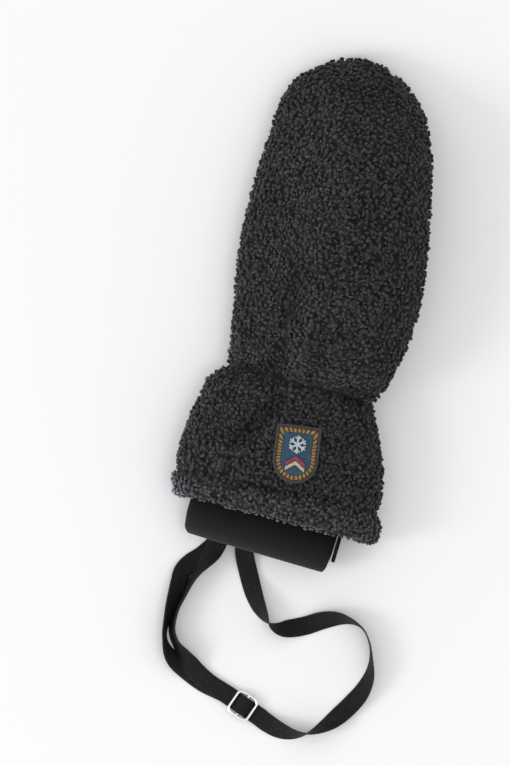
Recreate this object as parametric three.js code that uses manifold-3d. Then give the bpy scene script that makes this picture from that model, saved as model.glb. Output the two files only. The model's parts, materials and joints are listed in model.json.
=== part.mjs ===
// A left-hand winter mitten of curly fleece, lying on its palm with the back of the hand up.
// Millimetres. +Y runs to the fingertips, +X to the thumb side, +Z up from the surface it lies on.
// The origin is on that surface, under the middle of the gauntlet.
import * as THREE from 'three';
import { mergeVertices } from 'three/addons/utils/BufferGeometryUtils.js';
import Module from 'manifold-3d';

// Hand
const handLength = 212; // wrist seam to fingertips
const handWidth = 120;
const handLoft = 38; // how high the filled hand stands
const fleeceWall = 6; // curly fleece with its backing
const palmWall = 3; // padded suede
const palmMargin = 8; // fleece that wraps round under the hand, beside the suede
const palmTipMargin = 7;
const tipRise = 9; // height of the seam at the fingertips
const settle = 1.2; // how far a soft underside flattens where it rests

// Thumb, tucked under the palm
const thumbLength = 148;
const thumbWidth = 45;
const thumbThickness = 20;
const thumbWall = 4;
const thumbRootRise = 8; // wrist seam to the lowest point of the thumb
const thumbRootLoft = 40; // how far up into the hand the thumb's hollow reaches
const stripWidth = 7; // suede along the thumb's inner side

// Gauntlet
const cuffLength = 88; // wrist seam to hem
const cuffWidth = 137;
const cuffLoft = 42;
const cuffWall = 5.5;
const hemDepth = 18; // turned-in hem
const hemSwell = 1.6; // how much thicker the hem is on each side
const hemGroove = 1.3; // dip of the line of stitching above it
const hemGrooveWidth = 2.2;

// Knitted inner cuff
const ribShow = 25; // how far it comes out below the hem
const ribWidth = 96;
const ribLoft = 18;
const ribWall = 2.6;
const ribFloor = 5.6; // clearance under it for the strap and the loop that holds it

// Seams, gathers and gaps
const wristSlant = 0.05; // how far wrist seam and hem climb towards the little finger, per mm
const ribSlant = 0.076;
const seamDip = 2.6;
const seamDipWidth = 4.5;
const gatherDepth = 1.8;
const gatherCount = 12;
const gatherReach = 17;
const seamGap = 0.3; // between pieces that are sewn together
const restGap = 0.35; // between pieces that lie on each other
const gatherGap = 1.2; // between the gathered wrist and the inner cuff in it

// Strap, slide buckle and tabs
const tapeWidth = 12;
const tapeThickness = 0.9;
const strapSpread = 136; // scale of the strap's loop across the mitten
const strapReach = 112; // scale of the strap's loop below the inner cuff
const buckleWidth = 17; // across the strap
const bucklePitch = 7.1; // centre bar to end bar
const buckleRod = 1.9;
const tapeGap = 0.25; // between layers of webbing, and webbing and metal
const loopTape = 0.7;
const loopDepth = 5;
const strapStep = 9; // longest step along the strap's faceted solid
const strapTwist = 18; // and the most that it turns in a step, in degrees
const tabLength = 22;
const tabHeight = 9;
const tabThickness = 1.8;
const tabInset = 9; // how far it ends above the inner cuff's lower fold
const tabBulge = 0.7; // room for the inner cuff's side, which bulges against it

// Badge
const badgeWidth = 29;
const badgeHeight = 37;
const badgeThickness = 1;
const badgeEdge = 2; // width of the overlocked edge
const badgeEdgeHeight = 1.9;
const badgeBand = 2.6;
const badgeLayer = 0.7;
const threadGap = 0.2;
const badgeTurn = 4.7; // degrees
const flakeSpan = 11.5;
const flakeArm = 1.25;
const chevronHeight = 2.4;

const wristY = cuffLength / 2;
const halfHand = handWidth / 2;
const halfCuff = cuffWidth / 2;
const halfRib = ribWidth / 2;
const ribLength = cuffLength + ribShow;
const ribEnd = wristY - ribLength;
const seamShare = 0.42; // share of its loft at which a section is widest

// Hand sections. along: share of the length above the wrist. pinky, thumb: the two edges as shares
// of half the handWidth. loft: share of handLoft.
const handSections = [
  { along: 0.0, pinky: 0.877, thumb: 0.835, loft: 0.88 },
  { along: 0.038, pinky: 0.845, thumb: 0.87, loft: 0.9 },
  { along: 0.099, pinky: 0.867, thumb: 0.942, loft: 0.94 },
  { along: 0.179, pinky: 0.892, thumb: 1.0, loft: 0.98 },
  { along: 0.278, pinky: 0.938, thumb: 1.044, loft: 1.0 },
  { along: 0.358, pinky: 0.965, thumb: 1.038, loft: 1.0 },
  { along: 0.462, pinky: 0.97, thumb: 1.012, loft: 0.99 },
  { along: 0.552, pinky: 0.958, thumb: 0.962, loft: 0.96 },
  { along: 0.637, pinky: 0.932, thumb: 0.918, loft: 0.92 },
  { along: 0.717, pinky: 0.895, thumb: 0.868, loft: 0.87 },
  { along: 0.788, pinky: 0.88, thumb: 0.795, loft: 0.81 },
  { along: 0.849, pinky: 0.842, thumb: 0.71, loft: 0.74 },
  { along: 0.896, pinky: 0.742, thumb: 0.595, loft: 0.66 },
  { along: 0.939, pinky: 0.592, thumb: 0.458, loft: 0.55 },
  { along: 0.972, pinky: 0.4, thumb: 0.292, loft: 0.4 },
  { along: 0.993, pinky: 0.22, thumb: 0.06, loft: 0.2 },
  { along: 1.0, pinky: 0.083, thumb: -0.083, loft: 0.0 },
];

// Gauntlet sections. down: share of the length below the wrist. pinky, thumb: shares of half the
// cuffWidth. loft: share of cuffLoft.
const cuffSections = [
  { down: 0.0, pinky: 0.768, thumb: 0.731, loft: 0.796 },
  { down: 0.05, pinky: 0.81, thumb: 0.7, loft: 0.82 },
  { down: 0.114, pinky: 0.876, thumb: 0.732, loft: 0.87 },
  { down: 0.284, pinky: 0.924, thumb: 0.818, loft: 0.94 },
  { down: 0.402, pinky: 0.963, thumb: 0.876, loft: 0.97 },
  { down: 0.545, pinky: 0.995, thumb: 0.927, loft: 0.99 },
  { down: 0.68, pinky: 1.016, thumb: 0.946, loft: 1.0 },
  { down: 0.807, pinky: 1.0, thumb: 0.952, loft: 1.0 },
  { down: 0.886, pinky: 0.984, thumb: 0.98, loft: 0.985 },
  { down: 0.966, pinky: 0.945, thumb: 0.958, loft: 0.97 },
  { down: 1.0, pinky: 0.93, thumb: 0.945, loft: 0.95 },
];

// Inner cuff sections. down: share of the length below the wrist. pinky, thumb: shares of half the
// ribWidth. loft: share of ribLoft. inside: 1 where it rests on the gauntlet's wall, 0 where it
// hangs clear of the surface.
const ribSections = [
  { down: 0.0, pinky: 0.86, thumb: 0.82, loft: 1.0, inside: 1.0 },
  { down: 0.2, pinky: 0.98, thumb: 0.83, loft: 1.0, inside: 1.0 },
  { down: 0.5, pinky: 1.07, thumb: 0.85, loft: 1.0, inside: 1.0 },
  { down: 0.78, pinky: 1.15, thumb: 0.88, loft: 1.0, inside: 1.0 },
  { down: 0.86, pinky: 1.167, thumb: 0.863, loft: 1.0, inside: 0.3 },
  { down: 0.96, pinky: 1.155, thumb: 0.822, loft: 0.98, inside: 0.0 },
  { down: 1.0, pinky: 1.1, thumb: 0.785, loft: 0.9, inside: 0.0 },
];

// Thumb sections. along: share of thumbLength. centre: share of half the handWidth. width: share of
// thumbWidth. loft: share of thumbThickness. root: share of the way up to thumbRootLoft.
const thumbSections = [
  { along: 0.0, centre: 0.54, width: 0.0, loft: 0.3, root: 0.0 },
  { along: 0.012, centre: 0.54, width: 0.36, loft: 0.55, root: 0.2 },
  { along: 0.05, centre: 0.54, width: 0.66, loft: 0.9, root: 0.7 },
  { along: 0.12, centre: 0.53, width: 0.86, loft: 1.0, root: 1.0 },
  { along: 0.24, centre: 0.5, width: 0.98, loft: 1.0, root: 1.0 },
  { along: 0.33, centre: 0.46, width: 1.02, loft: 1.0, root: 0.6 },
  { along: 0.42, centre: 0.42, width: 1.03, loft: 1.0, root: 0.0 },
  { along: 0.58, centre: 0.34, width: 1.02, loft: 1.0, root: 0.0 },
  { along: 0.75, centre: 0.28, width: 0.98, loft: 0.98, root: 0.0 },
  { along: 0.87, centre: 0.24, width: 0.85, loft: 0.92, root: 0.0 },
  { along: 0.94, centre: 0.22, width: 0.64, loft: 0.78, root: 0.0 },
  { along: 0.985, centre: 0.205, width: 0.34, loft: 0.5, root: 0.0 },
  { along: 1.0, centre: 0.2, width: 0.0, loft: 0.3, root: 0.0 },
];

// Main folds of the upper side. across: share of half the handWidth. along: share of handLength
// above the wrist, below it if negative. turn: degrees from the mitten's length. reach, spread: half
// length and half width as shares of handWidth. depth: share of handLoft.
const folds = [
  { across: -0.34, along: 0.155, turn: 5, reach: 0.3, spread: 0.065, depth: 0.14 },
  { across: 0.12, along: 0.08, turn: -6, reach: 0.16, spread: 0.055, depth: 0.06 },
  { across: -0.35, along: -0.1, turn: -38, reach: 0.19, spread: 0.055, depth: 0.1 },
  { across: -0.86, along: -0.2, turn: -30, reach: 0.2, spread: 0.08, depth: 0.06 },
  { across: 0.58, along: -0.01, turn: 88, reach: 0.16, spread: 0.03, depth: 0.09 },
  { across: -0.5, along: 0.005, turn: 92, reach: 0.2, spread: 0.026, depth: 0.08 },
  { across: 0.47, along: 0.42, turn: 68, reach: 0.16, spread: 0.05, depth: 0.035 },
];

// How the hand lies over the tucked thumb. from, to: the height rises between these shares of half
// the handWidth. sagFrom, sagTo, sag: it sinks again past the thumb. The rest are shares of
// handLength above the wrist.
const drape = {
  from: -0.72,
  to: 0.02,
  sagFrom: 0.6,
  sagTo: 1.1,
  sag: 0.4,
  start: -0.11,
  full: 0.14,
  ends: 0.7,
  gone: 0.97,
};

// Route of the strap from where it is sewn under the inner cuff, round its loop and back. across:
// share of strapSpread. down: share of strapReach below the inner cuff. roll: degrees that the
// webbing is turned about its length. over: height of its lower edge above the surface.
const strapOut = [
  { across: -0.102, down: -0.09, roll: 0, over: 4.3 },
  { across: -0.104, down: -0.051, roll: 0, over: 4.2 },
  { across: -0.107, down: -0.009, roll: 0, over: 3.5 },
  { across: -0.062, down: 0.122, roll: 0, over: 0.4 },
  { across: -0.006, down: 0.251, roll: 28, over: 0 },
  { across: 0.04, down: 0.326, roll: 52, over: 0 },
  { across: 0.085, down: 0.378, roll: 91, over: 0 },
  { across: 0.131, down: 0.39, roll: 135, over: 0 },
  { across: 0.182, down: 0.377, roll: 166, over: 0 },
  { across: 0.251, down: 0.343, roll: 180, over: 0.3 },
  { across: 0.325, down: 0.293, roll: 197, over: 0.3 },
  { across: 0.4, down: 0.264, roll: 227, over: 0 },
  { across: 0.468, down: 0.267, roll: 262, over: 0 },
  { across: 0.52, down: 0.294, roll: 270, over: 0 },
  { across: 0.561, down: 0.361, roll: 270, over: 0 },
  { across: 0.586, down: 0.454, roll: 266, over: 0 },
  { across: 0.592, down: 0.554, roll: 238, over: 0 },
  { across: 0.573, down: 0.649, roll: 210, over: 0 },
  { across: 0.538, down: 0.729, roll: 190, over: 0.6 },
  { across: 0.493, down: 0.806, roll: 198, over: 0.6 },
  { across: 0.442, down: 0.874, roll: 228, over: 0 },
  { across: 0.367, down: 0.942, roll: 270, over: 0 },
  { across: 0.294, down: 0.965, roll: 306, over: 0 },
  { across: 0.22, down: 0.955, roll: 338, over: 0.2 },
  { across: 0.143, down: 0.92, roll: 358, over: 0.8 },
];
const strapInner = [
  { across: -0.143, down: 0.777, roll: 360, over: 1.3 },
  { across: -0.215, down: 0.724, roll: 357, over: 1.3 },
  { across: -0.255, down: 0.681, roll: 335, over: 1.4 },
  { across: -0.293, down: 0.636, roll: 300, over: 0.8 },
  { across: -0.332, down: 0.592, roll: 289, over: 0.2 },
  { across: -0.36, down: 0.531, roll: 290, over: 0 },
  { across: -0.365, down: 0.463, roll: 285, over: 0 },
  { across: -0.358, down: 0.396, roll: 281, over: 0 },
  { across: -0.341, down: 0.325, roll: 279, over: 0 },
  { across: -0.321, down: 0.234, roll: 284, over: 0.4 },
  { across: -0.303, down: 0.174, roll: 290, over: 1.2 },
  { across: -0.279, down: 0.116, roll: 303, over: 1.9 },
  { across: -0.248, down: 0.035, roll: 350, over: 2.6 },
];
const strapOuter = [
  { across: -0.254, down: 0.007, roll: 360, over: 0.3 },
  { across: -0.294, down: 0.07, roll: 360, over: 0 },
  { across: -0.343, down: 0.13, roll: 363, over: 0 },
  { across: -0.37, down: 0.184, roll: 374, over: 0 },
  { across: -0.376, down: 0.249, roll: 386, over: 0 },
  { across: -0.383, down: 0.342, roll: 400, over: 0 },
  { across: -0.392, down: 0.452, roll: 426, over: 0 },
  { across: -0.393, down: 0.549, roll: 443, over: 0 },
  { across: -0.373, down: 0.619, roll: 436, over: 0 },
  { across: -0.33, down: 0.681, roll: 395, over: 0 },
  { across: -0.257, down: 0.733, roll: 363, over: 0 },
  { across: -0.166, down: 0.784, roll: 360, over: 0 },
];
const buckleSpot = { across: 0.039, down: 0.865, turn: 157.5 };
const loopSpot = { across: -0.226, down: -0.064, turn: 75 };

const wasm = await Module();
wasm.setup();

function smoothstep(low, high, value) {
  const t = THREE.MathUtils.clamp((value - low) / (high - low), 0, 1);
  return t * t * (3 - 2 * t);
}

// One column of a table at a share between its rows, on a curve that never overshoots.
function column(table, by, name, share) {
  let i = 0;
  while (i < table.length - 2 && share > table[i + 1][by]) i++;
  const slope = (k) => (table[k + 1][name] - table[k][name]) / (table[k + 1][by] - table[k][by]);
  const tangent = (k) => {
    if (k === 0) return slope(0);
    if (k === table.length - 1) return slope(k - 1);
    const before = slope(k - 1);
    const after = slope(k);
    return before * after <= 0 ? 0 : (2 * before * after) / (before + after);
  };
  const span = table[i + 1][by] - table[i][by];
  const t = THREE.MathUtils.clamp((share - table[i][by]) / span, 0, 1);
  return (
    table[i][name] * (1 + 2 * t) * (1 - t) ** 2 +
    table[i + 1][name] * t * t * (3 - 2 * t) +
    tangent(i) * span * t * (1 - t) ** 2 +
    tangent(i + 1) * span * t * t * (t - 1)
  );
}

// Closed skin over rings that have the same number of points. A ring of one point is a pole. turned:
// the places round a ring where the faces are split along their other diagonal.
function skin(rings, { loop = false, turned = [] } = {}) {
  const points = rings.flat();
  const starts = [];
  let total = 0;
  for (const ring of rings) {
    starts.push(total);
    total += ring.length;
  }
  const count = Math.max(...rings.map((ring) => ring.length));
  const index = [];
  for (let r = 0; r < (loop ? rings.length : rings.length - 1); r++) {
    const next = (r + 1) % rings.length;
    const at = (ring, i) => starts[ring] + (rings[ring].length > 1 ? i % count : 0);
    const joined = rings[r].length > 1 && rings[next].length > 1;
    for (let i = 0; i < count; i++) {
      if (joined && turned.includes(i)) {
        index.push(at(r, i), at(next, i), at(r, i + 1));
        index.push(at(next, i), at(next, i + 1), at(r, i + 1));
        continue;
      }
      if (rings[next].length > 1) index.push(at(r, i), at(next, i), at(next, i + 1));
      if (rings[r].length > 1) index.push(at(r, i), at(next, i + 1), at(r, i + 1));
    }
  }
  let volume = 0;
  for (let i = 0; i < index.length; i += 3) {
    const [a, b, c] = [points[index[i]], points[index[i + 1]], points[index[i + 2]]];
    volume += a.dot(b.clone().cross(c));
  }
  if (volume < 0) index.reverse();
  const geometry = new THREE.BufferGeometry();
  geometry.setFromPoints(points);
  geometry.setIndex(index);
  return geometry;
}

// Skin with a flat end at each side of its rings.
function capped(rings, settings) {
  const middle = (ring) => [
    ring.reduce((sum, point) => sum.add(point), new THREE.Vector3()).divideScalar(ring.length),
  ];
  return skin([middle(rings[0]), ...rings, middle(rings[rings.length - 1])], settings);
}

function solid(geometry) {
  const plain = geometry.index ? geometry.toNonIndexed() : geometry.clone();
  plain.deleteAttribute('normal');
  plain.deleteAttribute('uv');
  const merged = mergeVertices(plain, 1e-4);
  return new wasm.Manifold(
    new wasm.Mesh({
      numProp: 3,
      vertProperties: merged.attributes.position.array,
      triVerts: new Uint32Array(merged.index.array),
    }),
  );
}

function geometryOf(manifold) {
  const mesh = manifold.getMesh();
  const geometry = new THREE.BufferGeometry();
  geometry.setAttribute('position', new THREE.BufferAttribute(mesh.vertProperties, 3));
  geometry.setIndex(new THREE.BufferAttribute(mesh.triVerts, 1));
  return geometry;
}

function range(count) {
  return Array.from({ length: count }, (_, i) => i);
}

// Shares from 0 to 1, closer together towards 1.
function sharesToTip(count) {
  return range(count).map((i) => 1 - (1 - i / count) ** 1.35);
}

function angles(count) {
  return range(count).map((i) => (i / count) * Math.PI * 2);
}

function signedPower(value, power) {
  return Math.sign(value) * Math.abs(value) ** power;
}

// Point of a soft section at an angle from the thumb side: round above, flatter below.
function sectionPoint({ left, right, loft, angle, topPower = 0.87, underPower = 0.68 }) {
  const s = Math.sin(angle);
  const power = s >= 0 ? topPower : underPower;
  const half = (left + right) / 2;
  const seam = loft * seamShare;
  return {
    x: (right - left) / 2 + half * signedPower(Math.cos(angle), power),
    z: seam + (s >= 0 ? loft - seam : seam) * signedPower(s, power),
    up: Math.max(s, 0),
  };
}

function lift(x, y) {
  const along = (y - wristY) / handLength;
  const across = x / halfHand;
  const side = smoothstep(drape.from, drape.to, across);
  const sag = 1 - drape.sag * smoothstep(drape.sagFrom, drape.sagTo, across);
  const start = smoothstep(drape.start, drape.full, along);
  const end = 1 - smoothstep(drape.ends, drape.gone, along);
  return (thumbThickness + restGap + settle) * side * sag * start * end;
}

function foldDepth(x, y) {
  let depth = 0;
  for (const fold of folds) {
    const turn = THREE.MathUtils.degToRad(fold.turn);
    const dx = x - fold.across * halfHand;
    const dy = y - wristY - fold.along * handLength;
    const lengthways = (dy * Math.cos(turn) - dx * Math.sin(turn)) / (fold.reach * handWidth);
    const sideways = (dx * Math.cos(turn) + dy * Math.sin(turn)) / (fold.spread * handWidth);
    depth += fold.depth * handLoft * Math.exp(-1.5 * lengthways ** 2 - sideways ** 2);
  }
  return depth;
}

// Inward pull of the wrist's elastic: a groove at the seam, and gathers that fade away from it.
function wristPull(angle, away) {
  const gather = 0.5 - 0.5 * Math.cos(gatherCount * angle + 0.8 * Math.sin(2 * angle));
  return (
    seamDip * Math.exp(-((away / seamDipWidth) ** 2)) +
    gatherDepth * gather * Math.exp(-away / gatherReach)
  );
}

// Point of a soft shell that lies on the surface and on the thumb. wall: sides, top and underside.
function draped({ left, right, loft, y, slant, angle, pull, wall, floor = 0 }) {
  const flat = sectionPoint({
    left: left - pull - wall.side,
    right: right - pull - wall.side,
    loft: Math.max(loft - pull - wall.top - wall.under, 0),
    angle,
  });
  const at = y - slant * flat.x;
  const raised = wall.under + floor + flat.z + lift(flat.x, at) - foldDepth(flat.x, at) * flat.up;
  return new THREE.Vector3(flat.x, at, Math.max(raised - settle * (1 - flat.up), wall.under));
}

// Height of the underside of a hand section whose loft has shrunk towards the fingertips.
function tipFloor(share, loft, under) {
  return Math.max(tipRise - under - seamShare * loft, 0) * smoothstep(0.6, 1, share);
}

function handPoint(share, angle, wall) {
  const left = column(handSections, 'along', 'pinky', share) * (halfHand - wall.side);
  const right = column(handSections, 'along', 'thumb', share) * (halfHand - wall.side);
  const loftShare = column(handSections, 'along', 'loft', share);
  const loft = loftShare * (handLoft - wall.top - wall.under);
  const up = seamGap + share * (handLength - seamGap - wall.side);
  return draped({
    left: left + wall.side,
    right: right + wall.side,
    loft: loft + wall.top + wall.under,
    y: wristY + up,
    slant: wristSlant * (1 - share) ** 2,
    angle,
    pull: wristPull(angle, up) * (1 - share),
    wall,
    floor: tipFloor(share, loft, wall.under),
  });
}

function hemWall(down) {
  const intoHem = (down - (cuffLength - hemDepth)) / hemDepth;
  return hemSwell * smoothstep(0, 0.3, intoHem) * (1 - 0.6 * smoothstep(0.75, 1, intoHem));
}

// inward: 0 for the outer fleece, or how far inside it the point lies.
function cuffPoint(share, angle, inward = 0) {
  const down = share * cuffLength;
  const left = column(cuffSections, 'down', 'pinky', share) * halfCuff;
  const right = column(cuffSections, 'down', 'thumb', share) * halfCuff;
  const swell = hemWall(down);
  const groove = hemGroove * Math.exp(-(((down - cuffLength + hemDepth) / hemGrooveWidth) ** 2));
  const wall = inward > 0 ? inward + swell : groove - swell;
  return draped({
    left,
    right,
    loft: column(cuffSections, 'down', 'loft', share) * cuffLoft,
    y: wristY - down,
    slant: wristSlant,
    angle,
    pull: wristPull(angle, down),
    wall: { side: wall, top: wall, under: inward > 0 ? wall : 0 },
  });
}

// The inner cuff starts against the gauntlet's inner face and runs down to its own section.
function ribPoint(share, angle, inward = 0) {
  const down = seamGap + share * ribLength;
  const left = column(ribSections, 'down', 'pinky', share) * halfRib - inward;
  const right = column(ribSections, 'down', 'thumb', share) * halfRib - inward;
  const loft = column(ribSections, 'down', 'loft', share) * ribLoft - 2 * inward;
  const flat = sectionPoint({ left, right, loft, angle, topPower: 0.8, underPower: 0.7 });
  const slant = THREE.MathUtils.lerp(wristSlant, ribSlant, share);
  const y = wristY - down - slant * flat.x;
  const onWall = cuffWall + hemSwell + restGap;
  const floor = THREE.MathUtils.lerp(ribFloor, onWall, column(ribSections, 'down', 'inside', share));
  const own = new THREE.Vector3(flat.x, y, floor + inward + flat.z + lift(flat.x, y));
  const sewn = cuffPoint(Math.min(down / cuffLength, 1), angle, cuffWall + gatherGap + inward);
  return sewn.lerp(own, smoothstep(0, 0.25, share));
}

function thumbPoint(share, angle, wall = 0) {
  const half = (column(thumbSections, 'along', 'width', share) * (thumbWidth - 2 * wall)) / 2;
  const centre = column(thumbSections, 'along', 'centre', share) * halfHand;
  const root = column(thumbSections, 'along', 'root', share);
  const full = THREE.MathUtils.lerp(thumbThickness, thumbRootLoft, root) - 2 * wall;
  const loft = column(thumbSections, 'along', 'loft', share) * full;
  const flat = sectionPoint({ left: half, right: half, loft, angle });
  const rise = (thumbThickness / 2 - wall - loft / 2) * smoothstep(0.8, 1, share);
  return new THREE.Vector3(
    centre + flat.x,
    wristY + thumbRootRise + wall + share * (thumbLength - 2 * wall),
    Math.max(wall + Math.max(rise, 0) + flat.z - settle * (1 - flat.up), wall),
  );
}

const handAround = 38;
const noWall = { side: 0, top: 0, under: 0 };
const handWalls = { side: fleeceWall, top: fleeceWall, under: palmWall };

function handRings(shares, around, wall) {
  return shares.map((share) => angles(around).map((angle) => handPoint(share, angle, wall)));
}

// Solid of the hand's outside, grown by a gap so that it cuts what lies against it.
function handSolid(gap) {
  const wall = { side: -gap, top: -gap, under: -gap };
  const rings = handRings(sharesToTip(24), handAround, wall);
  const wrist = new THREE.Vector3(0, wristY, handLoft / 2);
  return solid(skin([[wrist], ...rings, [handPoint(1, 0, wall)]]));
}

// Space that holds the palm's panel: the underside within its margins.
function palmSpace(gap) {
  const across = range(13).map((i) => i / 12);
  const rings = [-0.03, 0, ...range(18).map((i) => (i + 1) / 18)].map((step) => {
    const share = Math.max(step, 0) * (1 - palmTipMargin / handLength);
    const atWrist = (seamDip + gatherDepth) * Math.exp((-share * handLength) / gatherReach);
    const margin = palmMargin * (1 - 0.4 * smoothstep(0.86, 1, step)) + atWrist - gap;
    const left = column(handSections, 'along', 'pinky', share) * halfHand - margin;
    const right = column(handSections, 'along', 'thumb', share) * halfHand - margin;
    const y = wristY + Math.min(step, 0) * handLength + share * handLength + Math.max(step, 0) * gap;
    const loft = column(handSections, 'along', 'loft', share) * (handLoft - fleeceWall - palmWall);
    const top = palmWall + tipFloor(share, loft, palmWall) + seamShare * loft + gap - settle / 2;
    const points = across.map((t) => {
      const x = THREE.MathUtils.lerp(-left, right, t);
      return new THREE.Vector3(x, y - wristSlant * x * (1 - share) ** 2, top + lift(x, y));
    });
    const under = points.map((point) => point.clone().setZ(-handLoft)).reverse();
    return [...points, ...under];
  });
  return solid(capped(rings));
}

// Space that holds the suede strip of the thumb, along its inner edge.
function stripSpace(gap) {
  const count = 8;
  const rings = range(count + 1).map((i) => {
    const end = (i === count) - (i === 0);
    const share = THREE.MathUtils.lerp(0.1, 0.78, i / count) + (end * gap) / thumbLength;
    const half = (column(thumbSections, 'along', 'width', share) * thumbWidth) / 2;
    const edge = column(thumbSections, 'along', 'centre', share) * halfHand - half;
    const y = wristY + thumbRootRise + share * thumbLength;
    const inner = edge + stripWidth * Math.sin((Math.PI * (i + 0.6)) / (count + 1.2)) ** 0.4 + gap;
    return [
      new THREE.Vector3(edge - thumbWidth, y, -thumbThickness),
      new THREE.Vector3(inner, y, -thumbThickness),
      new THREE.Vector3(inner, y, handLoft),
      new THREE.Vector3(edge - thumbWidth, y, handLoft),
    ];
  });
  return solid(capped(rings));
}

function thumbSolid(wall) {
  const rings = range(15).map((i) =>
    angles(20).map((angle) => thumbPoint((i + 1) / 16, angle, wall)),
  );
  return solid(skin([[thumbPoint(0, 0, wall)], ...rings, [thumbPoint(1, 0, wall)]]));
}

const handShell = solid(
  skin([
    [handPoint(1, 0, handWalls)],
    ...handRings(sharesToTip(14), handAround, handWalls).reverse(),
    ...handRings(sharesToTip(24), handAround, noWall),
    [handPoint(1, 0, noWall)],
  ]),
);
const thumbHollow = thumbSolid(thumbWall);
const thumbShell = thumbSolid(0).subtract(thumbHollow).subtract(handSolid(restGap));

const cuffAround = 38;
const nearWrist = [0, 0.035, 0.075, 0.13, 0.21, 0.32];
const cuffShares = [0.45, 0.6, 0.75, 0.78, 0.795, 0.81, 0.85, 0.92, 0.97, 1];
const gauntlet = skin(
  [
    ...[...nearWrist, ...cuffShares].map((share) =>
      angles(cuffAround).map((angle) => cuffPoint(share, angle)),
    ),
    ...[...nearWrist, 0.55, 0.78, 0.88, 1].reverse().map((share) =>
      angles(cuffAround).map((angle) => cuffPoint(share, angle, cuffWall)),
    ),
  ],
  { loop: true },
);

const ribNearWrist = nearWrist.map((share) => (share * cuffLength) / ribLength);
const ribCuff = skin(
  [
    ...[...ribNearWrist, 0.5, 0.78, 0.88, 0.96, 1].map((share) =>
      angles(cuffAround).map((angle) => ribPoint(share, angle)),
    ),
    ...[0, 0.06, 0.16, 0.3, 0.6, 0.85, 1].reverse().map((share) =>
      angles(cuffAround).map((angle) => ribPoint(share, angle, ribWall)),
    ),
  ],
  { loop: true },
);

// Place of a spot or row of the strap's route.
function strapPlace({ across, down, over = 0 }) {
  return new THREE.Vector3(across * strapSpread, ribEnd - down * strapReach, over);
}

// Stations of webbing through a spot, given as steps along it and heights of its middle.
function through(spot, steps) {
  const turn = THREE.MathUtils.degToRad(spot.turn);
  const centre = strapPlace(spot);
  return steps.map(([step, height]) => ({
    place: new THREE.Vector3(
      centre.x + step * Math.cos(turn),
      centre.y + step * Math.sin(turn),
      height - tapeThickness / 2,
    ),
    roll: 360,
  }));
}

const layer = tapeThickness + tapeGap;
const rodReach = buckleRod / 2 + tapeGap + tapeThickness / 2;
const buckleHeight = tapeGap + 2 * layer + buckleRod / 2 + tapeGap;
const underBar = buckleHeight - rodReach;
const overBar = buckleHeight + rodReach + layer;
const throughBuckle = through(buckleSpot, [
  [-1.9 * bucklePitch, underBar],
  [-1.35 * bucklePitch, underBar],
  [-bucklePitch, underBar],
  [-0.78 * bucklePitch, underBar + 0.1 * (overBar - underBar)],
  [-0.46 * bucklePitch, (underBar + overBar) / 2],
  [-0.2 * bucklePitch, overBar - 0.1 * (overBar - underBar)],
  [0, overBar],
  [0.2 * bucklePitch, overBar - 0.1 * (overBar - underBar)],
  [0.46 * bucklePitch, (underBar + overBar) / 2],
  [0.78 * bucklePitch, underBar + 0.1 * (overBar - underBar)],
  [bucklePitch, underBar],
  [1.35 * bucklePitch, underBar],
  [1.9 * bucklePitch, underBar],
]);
const roundCentreBar = through(buckleSpot, [
  [1.9 * bucklePitch, underBar - layer],
  [bucklePitch, underBar - layer],
  [0.6 * bucklePitch, underBar - 0.75 * layer],
  [0.28 * bucklePitch, underBar - 0.15 * layer],
  [0, buckleHeight - rodReach],
  [-0.72 * rodReach, buckleHeight - 0.7 * rodReach],
  [-rodReach, buckleHeight],
  [-0.72 * rodReach, buckleHeight + 0.7 * rodReach],
  [-0.1 * rodReach, buckleHeight + rodReach],
]);

const loopTop = ribFloor - restGap - loopTape;
const loopBar = loopTop - layer - tapeGap - loopTape;
const throughLoop = loopTop - tapeGap - tapeThickness / 2;
const underLoop = loopBar - tapeGap - tapeThickness / 2;
const turnBack = (throughLoop - underLoop) / 2;
const roundLoop = through(loopSpot, [
  [-0.9 * loopDepth, throughLoop],
  [0, throughLoop],
  [0.55 * loopDepth, throughLoop],
  [0.55 * loopDepth + 0.72 * turnBack, throughLoop - 0.3 * turnBack],
  [0.55 * loopDepth + turnBack, throughLoop - turnBack],
  [0.55 * loopDepth + 0.72 * turnBack, underLoop + 0.3 * turnBack],
  [0.55 * loopDepth, underLoop],
  [0, underLoop],
  [-0.9 * loopDepth, underLoop],
]);

// Points along the strap with the roll of the webbing there.
function strapSamples() {
  const fromTable = (rows) => rows.map((row) => ({ place: strapPlace(row), roll: row.roll }));
  const stations = [
    ...fromTable(strapOut),
    ...throughBuckle,
    ...fromTable(strapInner),
    ...roundLoop,
    ...fromTable(strapOuter),
    ...roundCentreBar,
  ];
  const curve = new THREE.CatmullRomCurve3(stations.map((station) => station.place));
  const last = stations.length - 1;
  const samples = [];
  const add = (t, roll) => {
    const centre = curve.getPoint(t);
    const turn = THREE.MathUtils.degToRad(roll);
    const height = Math.abs(Math.sin(turn)) * tapeWidth + Math.abs(Math.cos(turn)) * tapeThickness;
    centre.z = Math.max(centre.z, 0) + height / 2;
    samples.push({ centre, turn });
  };
  for (const i of range(last)) {
    const length = stations[i].place.distanceTo(stations[i + 1].place);
    const twist = Math.abs(stations[i + 1].roll - stations[i].roll);
    const parts = Math.ceil(Math.max(length / strapStep, twist / strapTwist));
    for (const k of range(parts)) {
      const roll = THREE.MathUtils.lerp(stations[i].roll, stations[i + 1].roll, k / parts);
      add((i + k / parts) / last, roll);
    }
  }
  add(1, stations[last].roll);
  return samples;
}

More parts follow.
